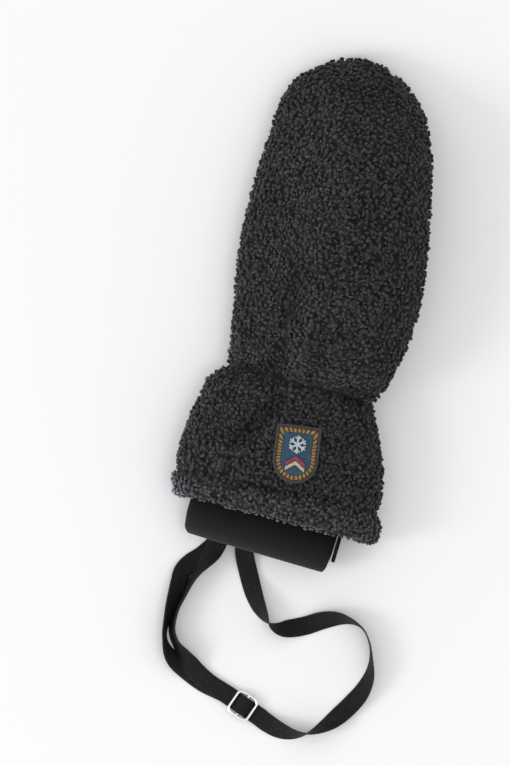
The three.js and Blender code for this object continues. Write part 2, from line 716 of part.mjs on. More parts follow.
function strapGeometry() {
  const samples = strapSamples();
  let side = new THREE.Vector3(1, 0, 0);
  const rings = samples.map(({ centre, turn }, i) => {
    const before = samples[Math.max(i - 1, 0)].centre;
    const after = samples[Math.min(i + 1, samples.length - 1)].centre;
    const tangent = after.clone().sub(before);
    const level = new THREE.Vector3(tangent.y, -tangent.x, 0);
    if (level.length() > 0.35 * tangent.length()) {
      level.normalize();
      side = level.dot(side) < 0 ? level.negate() : level;
    }
    const width = side.clone().multiplyScalar(Math.cos(turn)).setZ(Math.sin(turn));
    const thick = tangent.cross(width).normalize().multiplyScalar(tapeThickness / 2);
    width.multiplyScalar(tapeWidth / 2);
    return [
      centre.clone().add(width).add(thick),
      centre.clone().sub(width).add(thick),
      centre.clone().sub(width).sub(thick),
      centre.clone().add(width).sub(thick),
    ];
  });
  return capped(rings, { turned: [2] });
}

// Round rod along points, each with the direction across the path. Closed on itself if it loops.
function rod(path, radius, loop) {
  const rings = path.map(({ point, outward }) =>
    angles(8).map((angle) =>
      point
        .clone()
        .addScaledVector(outward, radius * Math.cos(angle))
        .add(new THREE.Vector3(0, 0, radius * Math.sin(angle))),
    ),
  );
  return loop ? skin(rings, { loop: true }) : capped(rings);
}

function buckleGeometry() {
  const corner = 1.6 * buckleRod;
  const halfWide = (buckleWidth - buckleRod) / 2;
  const path = [];
  for (const [sx, sy, from] of [[1, 1, 0], [-1, 1, 90], [-1, -1, 180], [1, -1, 270]]) {
    for (const degrees of [0, 30, 60, 90]) {
      const angle = THREE.MathUtils.degToRad(from + degrees);
      const outward = new THREE.Vector3(Math.cos(angle), Math.sin(angle), 0);
      const centre = new THREE.Vector3(sx * (bucklePitch - corner), sy * (halfWide - corner), 0);
      path.push({ point: centre.addScaledVector(outward, corner), outward });
    }
  }
  const bar = [-halfWide, halfWide].map((y) => ({
    point: new THREE.Vector3(0, y, 0),
    outward: new THREE.Vector3(1, 0, 0),
  }));
  return geometryOf(solid(rod(path, buckleRod / 2, true)).add(solid(rod(bar, buckleRod / 2, false))));
}

// Closed band of tape that hangs from the inner cuff's underside and holds the strap.
function loopGeometry() {
  const inner = { wide: tapeWidth / 2 + 2 * tapeGap, low: loopBar + loopTape, high: loopTop };
  const outer = { wide: inner.wide + loopTape, low: loopBar, high: loopTop + loopTape };
  const edge = (box, y) => [
    new THREE.Vector3(-box.wide, y, box.low),
    new THREE.Vector3(box.wide, y, box.low),
    new THREE.Vector3(box.wide, y, box.high),
    new THREE.Vector3(-box.wide, y, box.high),
  ];
  const half = loopDepth / 2;
  return skin([edge(outer, -half), edge(outer, half), edge(inner, half), edge(inner, -half)], {
    loop: true,
  });
}

function shieldShape(inset) {
  const w = badgeWidth / 2 - inset;
  const top = badgeHeight / 2 - inset;
  const low = -badgeHeight / 2 + inset;
  const round = low + w; // where the lower end starts to round off
  const shape = new THREE.Shape();
  shape.moveTo(w * 0.985, top);
  shape.lineTo(0, top + 0.006 * badgeHeight);
  shape.lineTo(-w * 0.985, top);
  shape.lineTo(-w, round);
  shape.bezierCurveTo(-w, round - 0.55 * w, -w * 0.55, low, 0, low);
  shape.bezierCurveTo(w * 0.55, low, w, round - 0.55 * w, w, round);
  return shape;
}

function plate(shape, thickness, height) {
  const settings = { depth: thickness, bevelEnabled: false, curveSegments: 9 };
  return new THREE.ExtrudeGeometry(shape, settings).translate(0, 0, height);
}

function ringPlate(outerInset, innerInset, thickness, height) {
  const shape = shieldShape(outerInset);
  shape.holes.push(new THREE.Path(shieldShape(innerInset).getPoints(9).reverse()));
  return plate(shape, thickness, height);
}

function flakeGeometry(height) {
  const bar = (length, wide, x, y, lean, turn) => {
    const geometry = new THREE.BoxGeometry(wide, length, badgeLayer);
    geometry.rotateZ(lean).translate(x, y, height + badgeLayer / 2).rotateZ(turn);
    return solid(geometry);
  };
  const twig = 0.22 * flakeSpan;
  const bars = range(6).flatMap((i) => {
    const turn = (i * Math.PI) / 3;
    const twigs = [-1, 1].map((side) => {
      const lean = (side * Math.PI) / 3.4;
      const x = -Math.sin(lean) * twig * 0.5;
      const y = 0.29 * flakeSpan + Math.cos(lean) * twig * 0.5;
      return bar(twig, flakeArm * 0.8, x, y, lean, turn);
    });
    return [bar(flakeSpan / 2, flakeArm, 0, flakeSpan / 4, 0, turn), ...twigs];
  });
  const flake = bars.reduce((sum, next) => sum.add(next));
  return geometryOf(flake).translate(0, 0.17 * badgeHeight, 0);
}

function chevronShape(y) {
  const w = 0.215 * badgeWidth;
  const rise = 0.12 * badgeHeight;
  const shape = new THREE.Shape();
  shape.moveTo(-w, y - chevronHeight);
  shape.lineTo(0, y + rise - chevronHeight);
  shape.lineTo(w, y - chevronHeight);
  shape.lineTo(w, y);
  shape.lineTo(0, y + rise);
  shape.lineTo(-w, y);
  return shape;
}

// The badge lies flat on the highest points of the gauntlet's upper side under it.
function seatBadge(group) {
  const centre = new THREE.Vector3(0.083 * halfHand, -0.011 * cuffLength, 0);
  const reach = Math.hypot(badgeWidth, badgeHeight) / 2;
  const near = [];
  for (const i of range(61)) {
    for (const j of range(61)) {
      const point = cuffPoint(i / 60, THREE.MathUtils.degToRad(50 + j * 1.4));
      if (Math.hypot(point.x - centre.x, point.y - centre.y) < reach) near.push(point);
    }
  }
  const mean = (pick) => near.reduce((sum, p) => sum + pick(p), 0) / near.length;
  const [mx, my, mz] = [mean((p) => p.x), mean((p) => p.y), mean((p) => p.z)];
  const xx = mean((p) => (p.x - mx) ** 2);
  const yy = mean((p) => (p.y - my) ** 2);
  const xy = mean((p) => (p.x - mx) * (p.y - my));
  const xz = mean((p) => (p.x - mx) * (p.z - mz));
  const yz = mean((p) => (p.y - my) * (p.z - mz));
  const slopeX = (xz * yy - yz * xy) / (xx * yy - xy * xy);
  const slopeY = (yz * xx - xz * xy) / (xx * yy - xy * xy);
  const plane = (x, y) => mz + slopeX * (x - mx) + slopeY * (y - my);
  const above = Math.max(...near.map((p) => p.z - plane(p.x, p.y)));
  const upward = new THREE.Vector3(0, 0, 1);
  const slope = new THREE.Vector3(-slopeX, -slopeY, 1).normalize();
  const spin = new THREE.Quaternion().setFromAxisAngle(upward, THREE.MathUtils.degToRad(badgeTurn));
  group.quaternion.setFromUnitVectors(upward, slope).multiply(spin);
  group.position.set(centre.x, centre.y, plane(centre.x, centre.y) + above + restGap);
}

const fleece = { color: 0x2d2d2f, roughness: 1, metalness: 0 };
const suede = { color: 0x28282a, roughness: 0.92, metalness: 0 };
const knit = { color: 0x242426, roughness: 0.95, metalness: 0 };
const webbing = { color: 0x1c1c1e, roughness: 0.75, metalness: 0 };
const steel = { color: 0xd6d7d9, roughness: 0.18, metalness: 1 };
const borderThread = { color: 0x3c3b3d, roughness: 0.8, metalness: 0 };
const ochreThread = { color: 0xb9822f, roughness: 0.7, metalness: 0 };
const blueThread = { color: 0x3d6a9e, roughness: 0.7, metalness: 0 };
const whiteThread = { color: 0xe4e5e6, roughness: 0.7, metalness: 0 };
const redThread = { color: 0xa8322c, roughness: 0.7, metalness: 0 };
const creamThread = { color: 0xd9d0b4, roughness: 0.7, metalness: 0 };

const mitten = new THREE.Group();

function addMesh(parent, name, geometry, look) {
  const mesh = new THREE.Mesh(geometry, new THREE.MeshStandardMaterial(look));
  mesh.name = name;
  parent.add(mesh);
  return mesh;
}

addMesh(mitten, 'hand_back', geometryOf(handShell.subtract(palmSpace(seamGap))), fleece);
const panel = handShell.intersect(palmSpace(0)).subtract(thumbHollow);
addMesh(mitten, 'palm_panel', geometryOf(panel), suede);
addMesh(mitten, 'thumb_fleece', geometryOf(thumbShell.subtract(stripSpace(seamGap))), fleece);
addMesh(mitten, 'thumb_strip', geometryOf(thumbShell.intersect(stripSpace(0))), suede);
addMesh(mitten, 'gauntlet', gauntlet, fleece);
addMesh(mitten, 'rib_cuff', ribCuff, knit);

const badge = new THREE.Group();
const onBase = badgeThickness + threadGap;
const onField = onBase + badgeLayer + threadGap;
const bandInset = badgeEdge + threadGap;
const fieldInset = bandInset + badgeBand + threadGap;
const band = ringPlate(bandInset, fieldInset - threadGap, badgeLayer, onBase);
const redLine = -0.15 * badgeHeight;
const creamLine = redLine - chevronHeight - 3 * threadGap;
addMesh(badge, 'badge_base', plate(shieldShape(bandInset), badgeThickness, 0), borderThread);
addMesh(badge, 'badge_edge', ringPlate(0, badgeEdge, badgeEdgeHeight, 0), borderThread);
addMesh(badge, 'badge_band', band, ochreThread);
addMesh(badge, 'badge_field', plate(shieldShape(fieldInset), badgeLayer, onBase), blueThread);
addMesh(badge, 'badge_flake', flakeGeometry(onField), whiteThread);
addMesh(badge, 'badge_chevron_red', plate(chevronShape(redLine), badgeLayer, onField), redThread);
addMesh(badge, 'badge_chevron_cream', plate(chevronShape(creamLine), badgeLayer, onField), creamThread);
seatBadge(badge);
mitten.add(badge);

addMesh(mitten, 'strap', strapGeometry(), webbing);

const buckle = addMesh(mitten, 'buckle', buckleGeometry(), steel);
buckle.position.copy(strapPlace({ ...buckleSpot, over: buckleHeight }));
buckle.rotation.z = THREE.MathUtils.degToRad(buckleSpot.turn);

const strapLoop = addMesh(mitten, 'strap_loop', loopGeometry(), webbing);
strapLoop.position.copy(strapPlace(loopSpot));
strapLoop.rotation.z = THREE.MathUtils.degToRad(loopSpot.turn - 90);

// The side tab stands on edge against the inner cuff, half under the hem.
const tabShape = new THREE.BoxGeometry(tabThickness, tabLength, tabHeight);
const sideTab = addMesh(mitten, 'side_tab', tabShape, webbing);
const tabEnd = ribPoint(1 - tabInset / ribLength, 0);
const tabStart = ribPoint(1 - (tabInset + tabLength) / ribLength, 0);
sideTab.rotation.z = Math.atan2(tabEnd.x - tabStart.x, tabStart.y - tabEnd.y);
sideTab.position.copy(tabStart).lerp(tabEnd, 0.5);
sideTab.translateX(restGap + tabBulge + tabThickness / 2);

export default mitten;
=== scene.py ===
# Left-hand mitten of curly fleece lying on its palm: pile, suede, knit, webbing, buckle and badge,
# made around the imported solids. Metres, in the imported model's frame.
import json
import math

import bmesh
import bpy
import numpy as np
from mathutils import Matrix, Vector
from mathutils.bvhtree import BVHTree

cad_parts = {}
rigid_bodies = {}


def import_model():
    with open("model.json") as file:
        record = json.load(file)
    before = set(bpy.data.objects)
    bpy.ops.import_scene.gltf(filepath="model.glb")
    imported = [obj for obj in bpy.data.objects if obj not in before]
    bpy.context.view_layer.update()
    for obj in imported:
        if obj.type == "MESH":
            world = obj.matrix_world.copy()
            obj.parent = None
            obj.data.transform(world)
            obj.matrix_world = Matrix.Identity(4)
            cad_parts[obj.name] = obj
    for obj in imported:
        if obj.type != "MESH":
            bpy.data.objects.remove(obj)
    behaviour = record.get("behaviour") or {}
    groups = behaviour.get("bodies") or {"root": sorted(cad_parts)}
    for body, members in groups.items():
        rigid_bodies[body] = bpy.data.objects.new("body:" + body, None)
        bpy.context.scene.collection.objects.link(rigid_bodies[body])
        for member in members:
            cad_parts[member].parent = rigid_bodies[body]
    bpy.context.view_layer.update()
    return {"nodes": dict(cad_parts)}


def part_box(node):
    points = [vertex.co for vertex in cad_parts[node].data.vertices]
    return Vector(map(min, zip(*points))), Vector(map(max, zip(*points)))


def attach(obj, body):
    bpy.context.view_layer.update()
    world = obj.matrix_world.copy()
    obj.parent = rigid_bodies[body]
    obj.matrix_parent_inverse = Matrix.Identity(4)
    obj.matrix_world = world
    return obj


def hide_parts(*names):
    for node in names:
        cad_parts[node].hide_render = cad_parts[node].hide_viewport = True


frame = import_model()
mm = 0.001
print("frame loaded:", len(frame["nodes"]), "nodes")

# Camera: straight down, turned so that the mitten leans to the right
shot = {
    "mmPerPixel": 0.64,
    "turn": 12,
    "originPixel": (288.5, 451),
    "size": (510, 765),
    "height": 4.2,
    "plane": 0.012,
    "sensor": 36,
}


def pixelToFrame(px, py):
    dx = (px - shot["originPixel"][0]) * shot["mmPerPixel"] * mm
    dy = (shot["originPixel"][1] - py) * shot["mmPerPixel"] * mm
    turn = math.radians(shot["turn"])
    across = dx * math.cos(turn) - dy * math.sin(turn)
    return Vector((across, dx * math.sin(turn) + dy * math.cos(turn), 0))


cameraData = bpy.data.cameras.new("camera")
camera = bpy.data.objects.new("camera", cameraData)
bpy.context.collection.objects.link(camera)
camera.location = pixelToFrame(shot["size"][0] / 2, shot["size"][1] / 2) + Vector((0, 0, shot["height"]))
camera.rotation_euler = (0, 0, math.radians(shot["turn"]))
cameraData.sensor_fit = "VERTICAL"
cameraData.sensor_height = shot["sensor"]
seenHeight = shot["size"][1] * shot["mmPerPixel"] * mm
cameraData.lens = shot["sensor"] * (shot["height"] - shot["plane"]) / seenHeight
cameraData.clip_end = 20
bpy.context.scene.camera = camera

# Light: an even white surround, a broad lamp at the left, one overhead and a low one at the lower left
light = {"world": 0.8, "floor": 0.94, "target": (0, 0.05, 0)}
lamps = {
    "key": {"place": (-2.6, -1.2, 1.7), "size": 1.2, "power": 30},
    "top": {"place": (0.9, -0.2, 3.2), "size": 1.6, "power": 11},
    "side": {"place": (-2.3, -2.15, 0.75), "size": 1.2, "power": 30},
}


def softLamp(name, place, size, power):
    data = bpy.data.lights.new(name, "AREA")
    data.shape = "DISK"
    data.size = size
    data.energy = power
    lamp = bpy.data.objects.new(name, data)
    bpy.context.collection.objects.link(lamp)
    lamp.location = place
    way = Vector(light["target"]) - Vector(place)
    lamp.rotation_euler = way.to_track_quat("-Z", "Y").to_euler()
    return lamp


madeLamps = {name: softLamp(name, **lamp) for name, lamp in lamps.items()}
world = bpy.data.worlds.new("studio")
bpy.context.scene.world = world
world.use_nodes = True
world.node_tree.nodes["Background"].inputs["Color"].default_value = (1, 1, 1, 1)
world.node_tree.nodes["Background"].inputs["Strength"].default_value = light["world"]
bpy.context.scene.view_settings.view_transform = "Standard"


# Node helpers: a value that is a socket is linked, any other is set
def put(tree, kind, inputs=None, **settings):
    made = tree.nodes.new(kind)
    for name, value in settings.items():
        setattr(made, name, value)
    for key, value in (inputs or {}).items():
        if isinstance(value, bpy.types.NodeSocket):
            tree.links.new(value, made.inputs[key])
        else:
            made.inputs[key].default_value = value
    return made


def calc(tree, operation, *values):
    return put(tree, "ShaderNodeMath", dict(enumerate(values)), operation=operation).outputs[0]


def vecCalc(tree, operation, *values):
    return put(tree, "ShaderNodeVectorMath", dict(enumerate(values)), operation=operation).outputs[0]


def scaled(tree, vector, factor):
    return put(tree, "ShaderNodeVectorMath", {0: vector, "Scale": factor}, operation="SCALE").outputs[0]


def newMaterial(name, **sockets):
    material = bpy.data.materials.new(name)
    material.use_nodes = True
    shader = material.node_tree.nodes["Principled BSDF"]
    for key, value in sockets.items():
        shader.inputs[key.replace("_", " ")].default_value = value
    return material, material.node_tree, shader


def grey(value, cool=0.12):
    return (value, value, value * (1 + cool), 1)


def mixColour(tree, factor, first, second):
    mix = put(tree, "ShaderNodeMix", {0: factor}, data_type="RGBA")
    for key, value in ((6, first), (7, second)):
        if isinstance(value, bpy.types.NodeSocket):
            tree.links.new(value, mix.inputs[key])
        else:
            mix.inputs[key].default_value = value
    return mix.outputs[2]


def addBump(tree, shader, height, distance, strength=1.0):
    bump = put(tree, "ShaderNodeBump", {"Height": height, "Distance": distance, "Strength": strength})
    tree.links.new(bump.outputs[0], shader.inputs["Normal"])


def objectPlace(tree):
    return tree.nodes.new("ShaderNodeTexCoord").outputs["Object"]


def attributeOf(tree, name):
    return put(tree, "ShaderNodeAttribute", attribute_name=name).outputs["Fac"]


def noiseOf(tree, scale, detail, **more):
    inputs = {"Vector": objectPlace(tree), "Scale": scale, "Detail": detail, **more}
    return put(tree, "ShaderNodeTexNoise", inputs).outputs["Fac"]


def ranged(tree, value, fromLow, fromHigh, toLow, toHigh):
    inputs = {0: value, 1: fromLow, 2: fromHigh, 3: toLow, 4: toHigh}
    return put(tree, "ShaderNodeMapRange", inputs).outputs[0]


# Mesh helpers
def addPiece(name, mesh):
    piece = bpy.data.objects.new(name, mesh)
    bpy.context.collection.objects.link(piece)
    return piece


def bake(piece):
    graph = bpy.context.evaluated_depsgraph_get()
    mesh = bpy.data.meshes.new_from_object(
        piece.evaluated_get(graph), preserve_all_data_layers=True, depsgraph=graph
    )
    piece.modifiers.clear()
    piece.data = mesh
    return piece


def solidCopy(nodeName, pieceName):
    mesh = frame["nodes"][nodeName].data.copy()
    work = bmesh.new()
    work.from_mesh(mesh)
    bmesh.ops.remove_doubles(work, verts=work.verts, dist=0.01 * mm)
    work.to_mesh(mesh)
    work.free()
    mesh.materials.clear()
    return addPiece(pieceName, mesh)


def evenCopy(nodeName, pieceName, voxel, relax):
    piece = solidCopy(nodeName, pieceName)
    even = piece.modifiers.new("even", "REMESH")
    even.mode = "VOXEL"
    even.voxel_size = voxel
    soft = piece.modifiers.new("soft", "SMOOTH")
    soft.factor = 0.5
    soft.iterations = relax
    return bake(piece)


def finishPiece(piece, material, slot, *nodes):
    piece.data.materials.clear()
    piece.data.materials.append(material)
    for face in piece.data.polygons:
        face.material_index = 0
    piece.data.shade_smooth()
    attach(piece, "root")
    if nodes:
        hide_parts(*nodes)
    print(f"{piece.name}: {sum(len(f.vertices) - 2 for f in piece.data.polygons)} triangles")


def treeOf(*names):
    points, faces = [], []
    for name in names:
        mesh = frame["nodes"][name].data
        start = len(points)
        points += [v.co.copy() for v in mesh.vertices]
        faces += [[start + i for i in f.vertices] for f in mesh.polygons]
    return BVHTree.FromPolygons(points, faces)


bodyNodes = ("hand_back", "palm_panel", "thumb_fleece", "thumb_strip", "gauntlet", "rib_cuff")
body = treeOf(*bodyNodes)
meeting = {"reach": 2.6 * mm, "short": 0.2 * mm, "inside": 1.0 * mm, "least": 0.3 * mm, "opposed": -0.75}


def othersTree(nodeName):
    return treeOf(*(name for name in bodyNodes if name != nodeName))


# Where the piece faces another one closely, its wall is brought to just short of that one
def meetNeighbours(piece, nodeName):
    others = othersTree(nodeName)
    moves = []
    for vertex in piece.data.vertices:
        start = vertex.co - vertex.normal * meeting["inside"]
        reach = meeting["reach"] + meeting["inside"]
        hit, face, _, distance = others.ray_cast(start, vertex.normal, reach)
        if hit is None or distance <= meeting["least"]:
            continue
        if face.dot(vertex.normal) < meeting["opposed"]:
            moves.append((vertex, hit - vertex.normal * meeting["short"]))
    for vertex, spot in moves:
        vertex.co = spot
    print(f"{piece.name}: {len(moves)} points meet a neighbour")


probeLift = 0.6


# 1 on the outside of the mitten, 0 in its hollow, where each way sideways, up and down is shut
def markOutside(mesh):
    outside = mesh.attributes.new("outside", "FLOAT", "POINT")
    ways = [Vector(way) for way in ((0, 0, 1), (0, 0, -1), (1, 0, 0), (-1, 0, 0))]
    values = []
    for vertex in mesh.vertices:
        start = vertex.co + vertex.normal * probeLift * mm
        values.append(float(any(body.ray_cast(start, way)[0] is None for way in ways)))
    outside.data.foreach_set("value", values)


def lineDistance(points, line):
    best = np.full(len(points), 1.0)
    for a, b in zip(line[:-1], line[1:]):
        start, way = np.array(a) * mm, (np.array(b) - np.array(a)) * mm
        share = np.clip(((points - start) @ way) / (way @ way), 0, 1)
        best = np.minimum(best, np.linalg.norm(points - start - share[:, None] * way, axis=1))
    return best


# Painted light in the pile's pale attribute: painted highlight on steep walls, most on those facing the low
# lamp; painted shade in the hem groove and at seams; painted highlight on the hem band
walls = {"upper": 1.4, "steep": 0.75, "pale": 0.2, "lampWay": (-0.73, -0.68), "lampPale": 1.1}
hem = {"width": 1.5, "depth": 1.2, "dark": 0.15, "bare": 0.93, "band": 5, "bandPaintedHighlight": 0.5}
seams = {"reach": 4, "full": 1.7, "width": 2.2, "dark": 0.5, "bare": 1.3}
underside = {"height": 3, "facing": -0.6}


# Folds of the cloth, where curls may sit (not in seams), and the pile's painted light: painted shade in
# folds, the hem groove and seams, painted highlight on lamp-facing walls, the hem band and tufts; lengths
# in mm
def pressFolds(mesh, make, others):
    count = len(mesh.vertices)
    points, normals, outside = np.zeros(count * 3), np.zeros(count * 3), np.zeros(count)
    mesh.vertices.foreach_get("co", points)
    mesh.vertices.foreach_get("normal", normals)
    mesh.attributes["outside"].data.foreach_get("value", outside)
    points, normals = points.reshape(-1, 3), normals.reshape(-1, 3)
    upper = np.clip(normals[:, 2] * walls["upper"], 0, 1) * outside
    steep = np.clip(1 - normals[:, 2] / walls["steep"], 0, 1) * outside
    facing = np.clip(normals[:, :2] @ np.array(walls["lampWay"]), 0, 1)
    # Painted highlight: steep walls paler, most where they face the low lamp
    pale = 1 + steep * (walls["pale"] + walls["lampPale"] * facing)
    curly, sunk = outside.copy(), np.zeros(count)
    for fold in make["folds"]:
        away = lineDistance(points[:, :2], fold["line"])
        share = np.exp(-((away / (fold["width"] * mm)) ** 2)) * upper
        sunk += share * fold["depth"] * mm
        # Painted shade: the pile darker along each fold's dent
        pale *= 1 - share * fold["dark"]
    for tuft in make.get("tufts", ()):
        away = np.linalg.norm(points[:, :2] - np.array(tuft["spot"]) * mm, axis=1)
        share = np.exp(-((away / (tuft["width"] * mm)) ** 2)) * outside
        sunk -= share * tuft["depth"] * mm
        # Painted highlight: the pile paler on each tuft
        pale *= 1 + share * tuft["pale"]
    if "hem" in make:
        below = make["hem"] * mm - points[:, 1]
        groove = np.exp(-((below / (hem["width"] * mm)) ** 2)) * outside
        band = np.clip(below / (hem["band"] * mm), 0, 1) * outside
        sunk += groove * hem["depth"] * mm
        # Painted shade in the hem's groove and painted highlight on the band below it
        pale *= (1 - hem["dark"] * groove) * (1 + hem["bandPaintedHighlight"] * band)
        curly[groove > hem["bare"]] = 0
    curly[(points[:, 2] < underside["height"] * mm) & (normals[:, 2] < underside["facing"])] = 0
    for i, vertex in enumerate(mesh.vertices):
        if outside[i] < 0.5:
            continue
        distance = others.find_nearest(vertex.co, seams["reach"] * mm)[3]
        if distance is not None:
            seam = min(1.0, max(0.0, seams["full"] - distance / (seams["width"] * mm)))
            # Painted shade: the pile darker where it meets a neighbouring piece
            pale[i] *= 1 - seams["dark"] * seam
            curly[i] = 0 if distance < seams["bare"] * mm else curly[i]
    moved = points - normals * sunk[:, None]
    mesh.vertices.foreach_set("co", moved.ravel())
    for name, values in (("curly", curly), ("pale", pale)):
        mesh.attributes.new(name, "FLOAT", "POINT").data.foreach_set("value", values)


# What lies against the surface is pressed flat on it
def restOnFloor(mesh, height=0.15 * mm):
    points = np.zeros(len(mesh.vertices) * 3)
    mesh.vertices.foreach_get("co", points)
    points[2::3] = np.maximum(points[2::3], height)
    mesh.vertices.foreach_set("co", points)


def refineOutside(mesh):
    work = bmesh.new()
    work.from_mesh(mesh)
    layer = work.verts.layers.float["outside"]
    edges = [e for e in work.edges if e.verts[0][layer] > 0.5 and e.verts[1][layer] > 0.5]
    bmesh.ops.subdivide_edges(work, edges=edges, cuts=1, use_grid_fill=True)
    work.to_mesh(mesh)
    work.free()


def geometryTree(name):
    tree = bpy.data.node_groups.new(name, "GeometryNodeTree")
    tree.interface.new_socket("Geometry", in_out="INPUT", socket_type="NodeSocketGeometry")
    tree.interface.new_socket("Geometry", in_out="OUTPUT", socket_type="NodeSocketGeometry")
    source = tree.nodes.new("NodeGroupInput").outputs[0]
    return tree, source, tree.nodes.new("NodeGroupOutput")


def store(tree, source, name, value, domain="POINT"):
    inputs = {"Geometry": source, "Name": name, "Value": value}
    return put(tree, "GeometryNodeStoreNamedAttribute", inputs, domain=domain).outputs[0]


def namedFloat(tree, name):
    return put(tree, "GeometryNodeInputNamedAttribute", {"Name": name}, data_type="FLOAT").outputs[0]


pile = {
    "pitch": 3.2 * mm,
    "height": 1.6 * mm,
    "fine": 0.7 * mm,
    "swell": 0.9 * mm,
    "inset": 1.8 * mm,
    "wander": 1.4 * mm,
    "wanderScale": 260.0,
    "swellScale": 70.0,
    "finer": 2.2,
    "fineMiddle": 0.6,
    "lumpReach": 0.72,
    "tallSpan": 0.45,
    "tallLeast": 0.55,
}


# Pebbled surface of the curly pile: rounded lumps with creases between them
def raisePile(piece):
    tree, source, out = geometryTree(piece.name + "_pile")
    place = tree.nodes.new("GeometryNodeInputPosition").outputs[0]
    normal = tree.nodes.new("GeometryNodeInputNormal").outputs[0]
    outside = namedFloat(tree, "outside")
    wandering = {"Vector": place, "Scale": pile["wanderScale"], "Detail": 1.0}
    wander = put(tree, "ShaderNodeTexNoise", wandering)
    shift = vecCalc(tree, "SUBTRACT", wander.outputs["Color"], (0.5, 0.5, 0.5))
    bent = vecCalc(tree, "ADD", place, scaled(tree, shift, pile["wander"]))
    lumps = put(tree, "ShaderNodeTexVoronoi", {"Vector": bent, "Scale": 1 / pile["pitch"]})
    small = put(tree, "ShaderNodeTexVoronoi", {"Vector": bent, "Scale": pile["finer"] / pile["pitch"]})
    swelling = {"Vector": place, "Scale": pile["swellScale"], "Detail": 1.0}
    swell = put(tree, "ShaderNodeTexNoise", swelling)
    away = calc(tree, "DIVIDE", lumps.outputs["Distance"], pile["lumpReach"])
    apart = calc(tree, "MINIMUM", away, 1.0)
    dome = calc(tree, "SUBTRACT", 1.0, calc(tree, "POWER", apart, 2.0))
    tone = put(tree, "FunctionNodeSeparateColor", {0: lumps.outputs["Color"]}).outputs[0]
    tall = calc(tree, "MULTIPLY_ADD", tone, pile["tallSpan"], pile["tallLeast"])
    main = calc(tree, "MULTIPLY", calc(tree, "MULTIPLY", dome, tall), pile["height"])
    near = calc(tree, "SUBTRACT", pile["fineMiddle"], small.outputs["Distance"])
    fine = calc(tree, "MULTIPLY", near, pile["fine"])
    broad = calc(tree, "MULTIPLY", calc(tree, "SUBTRACT", swell.outputs["Fac"], 0.5), pile["swell"])
    lumpy = calc(tree, "ADD", main, fine)
    total = calc(tree, "ADD", lumpy, broad)
    height = calc(tree, "MULTIPLY", outside, calc(tree, "SUBTRACT", total, pile["inset"]))
    # The lumps' height share, kept as pile, gives painted shade in the creases and painted highlight on the
    # lump tops
    share = calc(tree, "DIVIDE", lumpy, pile["height"])
    kept = store(tree, source, "pile", share)
    toned = store(tree, kept, "tone", tone)
    offset = scaled(tree, normal, height)
    moved = put(tree, "GeometryNodeSetPosition", {"Geometry": toned, "Offset": offset})
    tree.links.new(moved.outputs[0], out.inputs[0])
    piece.modifiers.new("pile", "NODES").node_group = tree
    return bake(piece)


strand = {
    "bend": 0.72 * mm,
    "thick": 0.8 * mm,
    "arc": 300,
    "sides": 5,
    "steps": 6,
    "climb": 0.12,
    "turn": -25,
    "tilt": 25,
    "stretch": 1.25,
    "lift": 0.8,
}
strandPaintedLight = {"middle": 0.45, "reach": 2.5, "core": 1.1, "rim": 0.7}


# One curl of the pile: a short bent strand, with painted highlight at its top and middle and painted shade
# at its base and outer rim
def curlShape(name):
    bend, thick = strand["bend"], strand["thick"]
    turn = Matrix.Rotation(math.radians(strand["turn"]), 3, "Z")
    tilt = Matrix.Rotation(math.radians(strand["tilt"]), 3, "X")
    work = bmesh.new()
    ring = bmesh.ops.create_circle(work, cap_ends=True, radius=thick, segments=strand["sides"])
    bmesh.ops.rotate(work, verts=ring["verts"], matrix=Matrix.Rotation(math.radians(90), 3, "X"))
    bmesh.ops.translate(work, verts=ring["verts"], vec=(bend, 0, 0))
    bmesh.ops.spin(
        work,
        geom=list(work.faces),
        cent=(0, 0, 0),
        axis=(0, 0, 1),
        dvec=(0, 0, strand["climb"] * thick),
        angle=math.radians(strand["arc"]),
        steps=strand["steps"],
    )
    bmesh.ops.recalc_face_normals(work, faces=work.faces)
    bmesh.ops.rotate(work, verts=work.verts, matrix=turn)
    bmesh.ops.rotate(work, verts=work.verts, matrix=tilt)
    bmesh.ops.scale(work, verts=work.verts, vec=(1, 1, strand["stretch"]))
    layer = work.verts.layers.float.new("rise")
    # Painted light: rise is paler up the curl and towards its middle, darker at its base and outer rim
    for vertex in work.verts:
        rim = min(vertex.co.xy.length / (bend + thick), 1.0)
        high = strandPaintedLight["middle"] + vertex.co.z / (strandPaintedLight["reach"] * thick)
        vertex[layer] = min(1.0, max(0.0, high)) * (strandPaintedLight["core"] - strandPaintedLight["rim"] * rim**2)
    bmesh.ops.translate(work, verts=work.verts, vec=(0, 0, strand["lift"] * thick))
    mesh = bpy.data.meshes.new(name)
    work.to_mesh(mesh)
    work.free()
    mesh.shade_smooth()
    return addPiece(name, mesh)


curl = {
    "density": 400000,
    "smallest": (0.75, 0.68, 0.8),
    "largest": (1.5, 1.1, 1.2),
    "lean": 0.3,
    "where": 0.9,
    "seeds": {"size": 4, "turn": 9, "tone": 17},
}


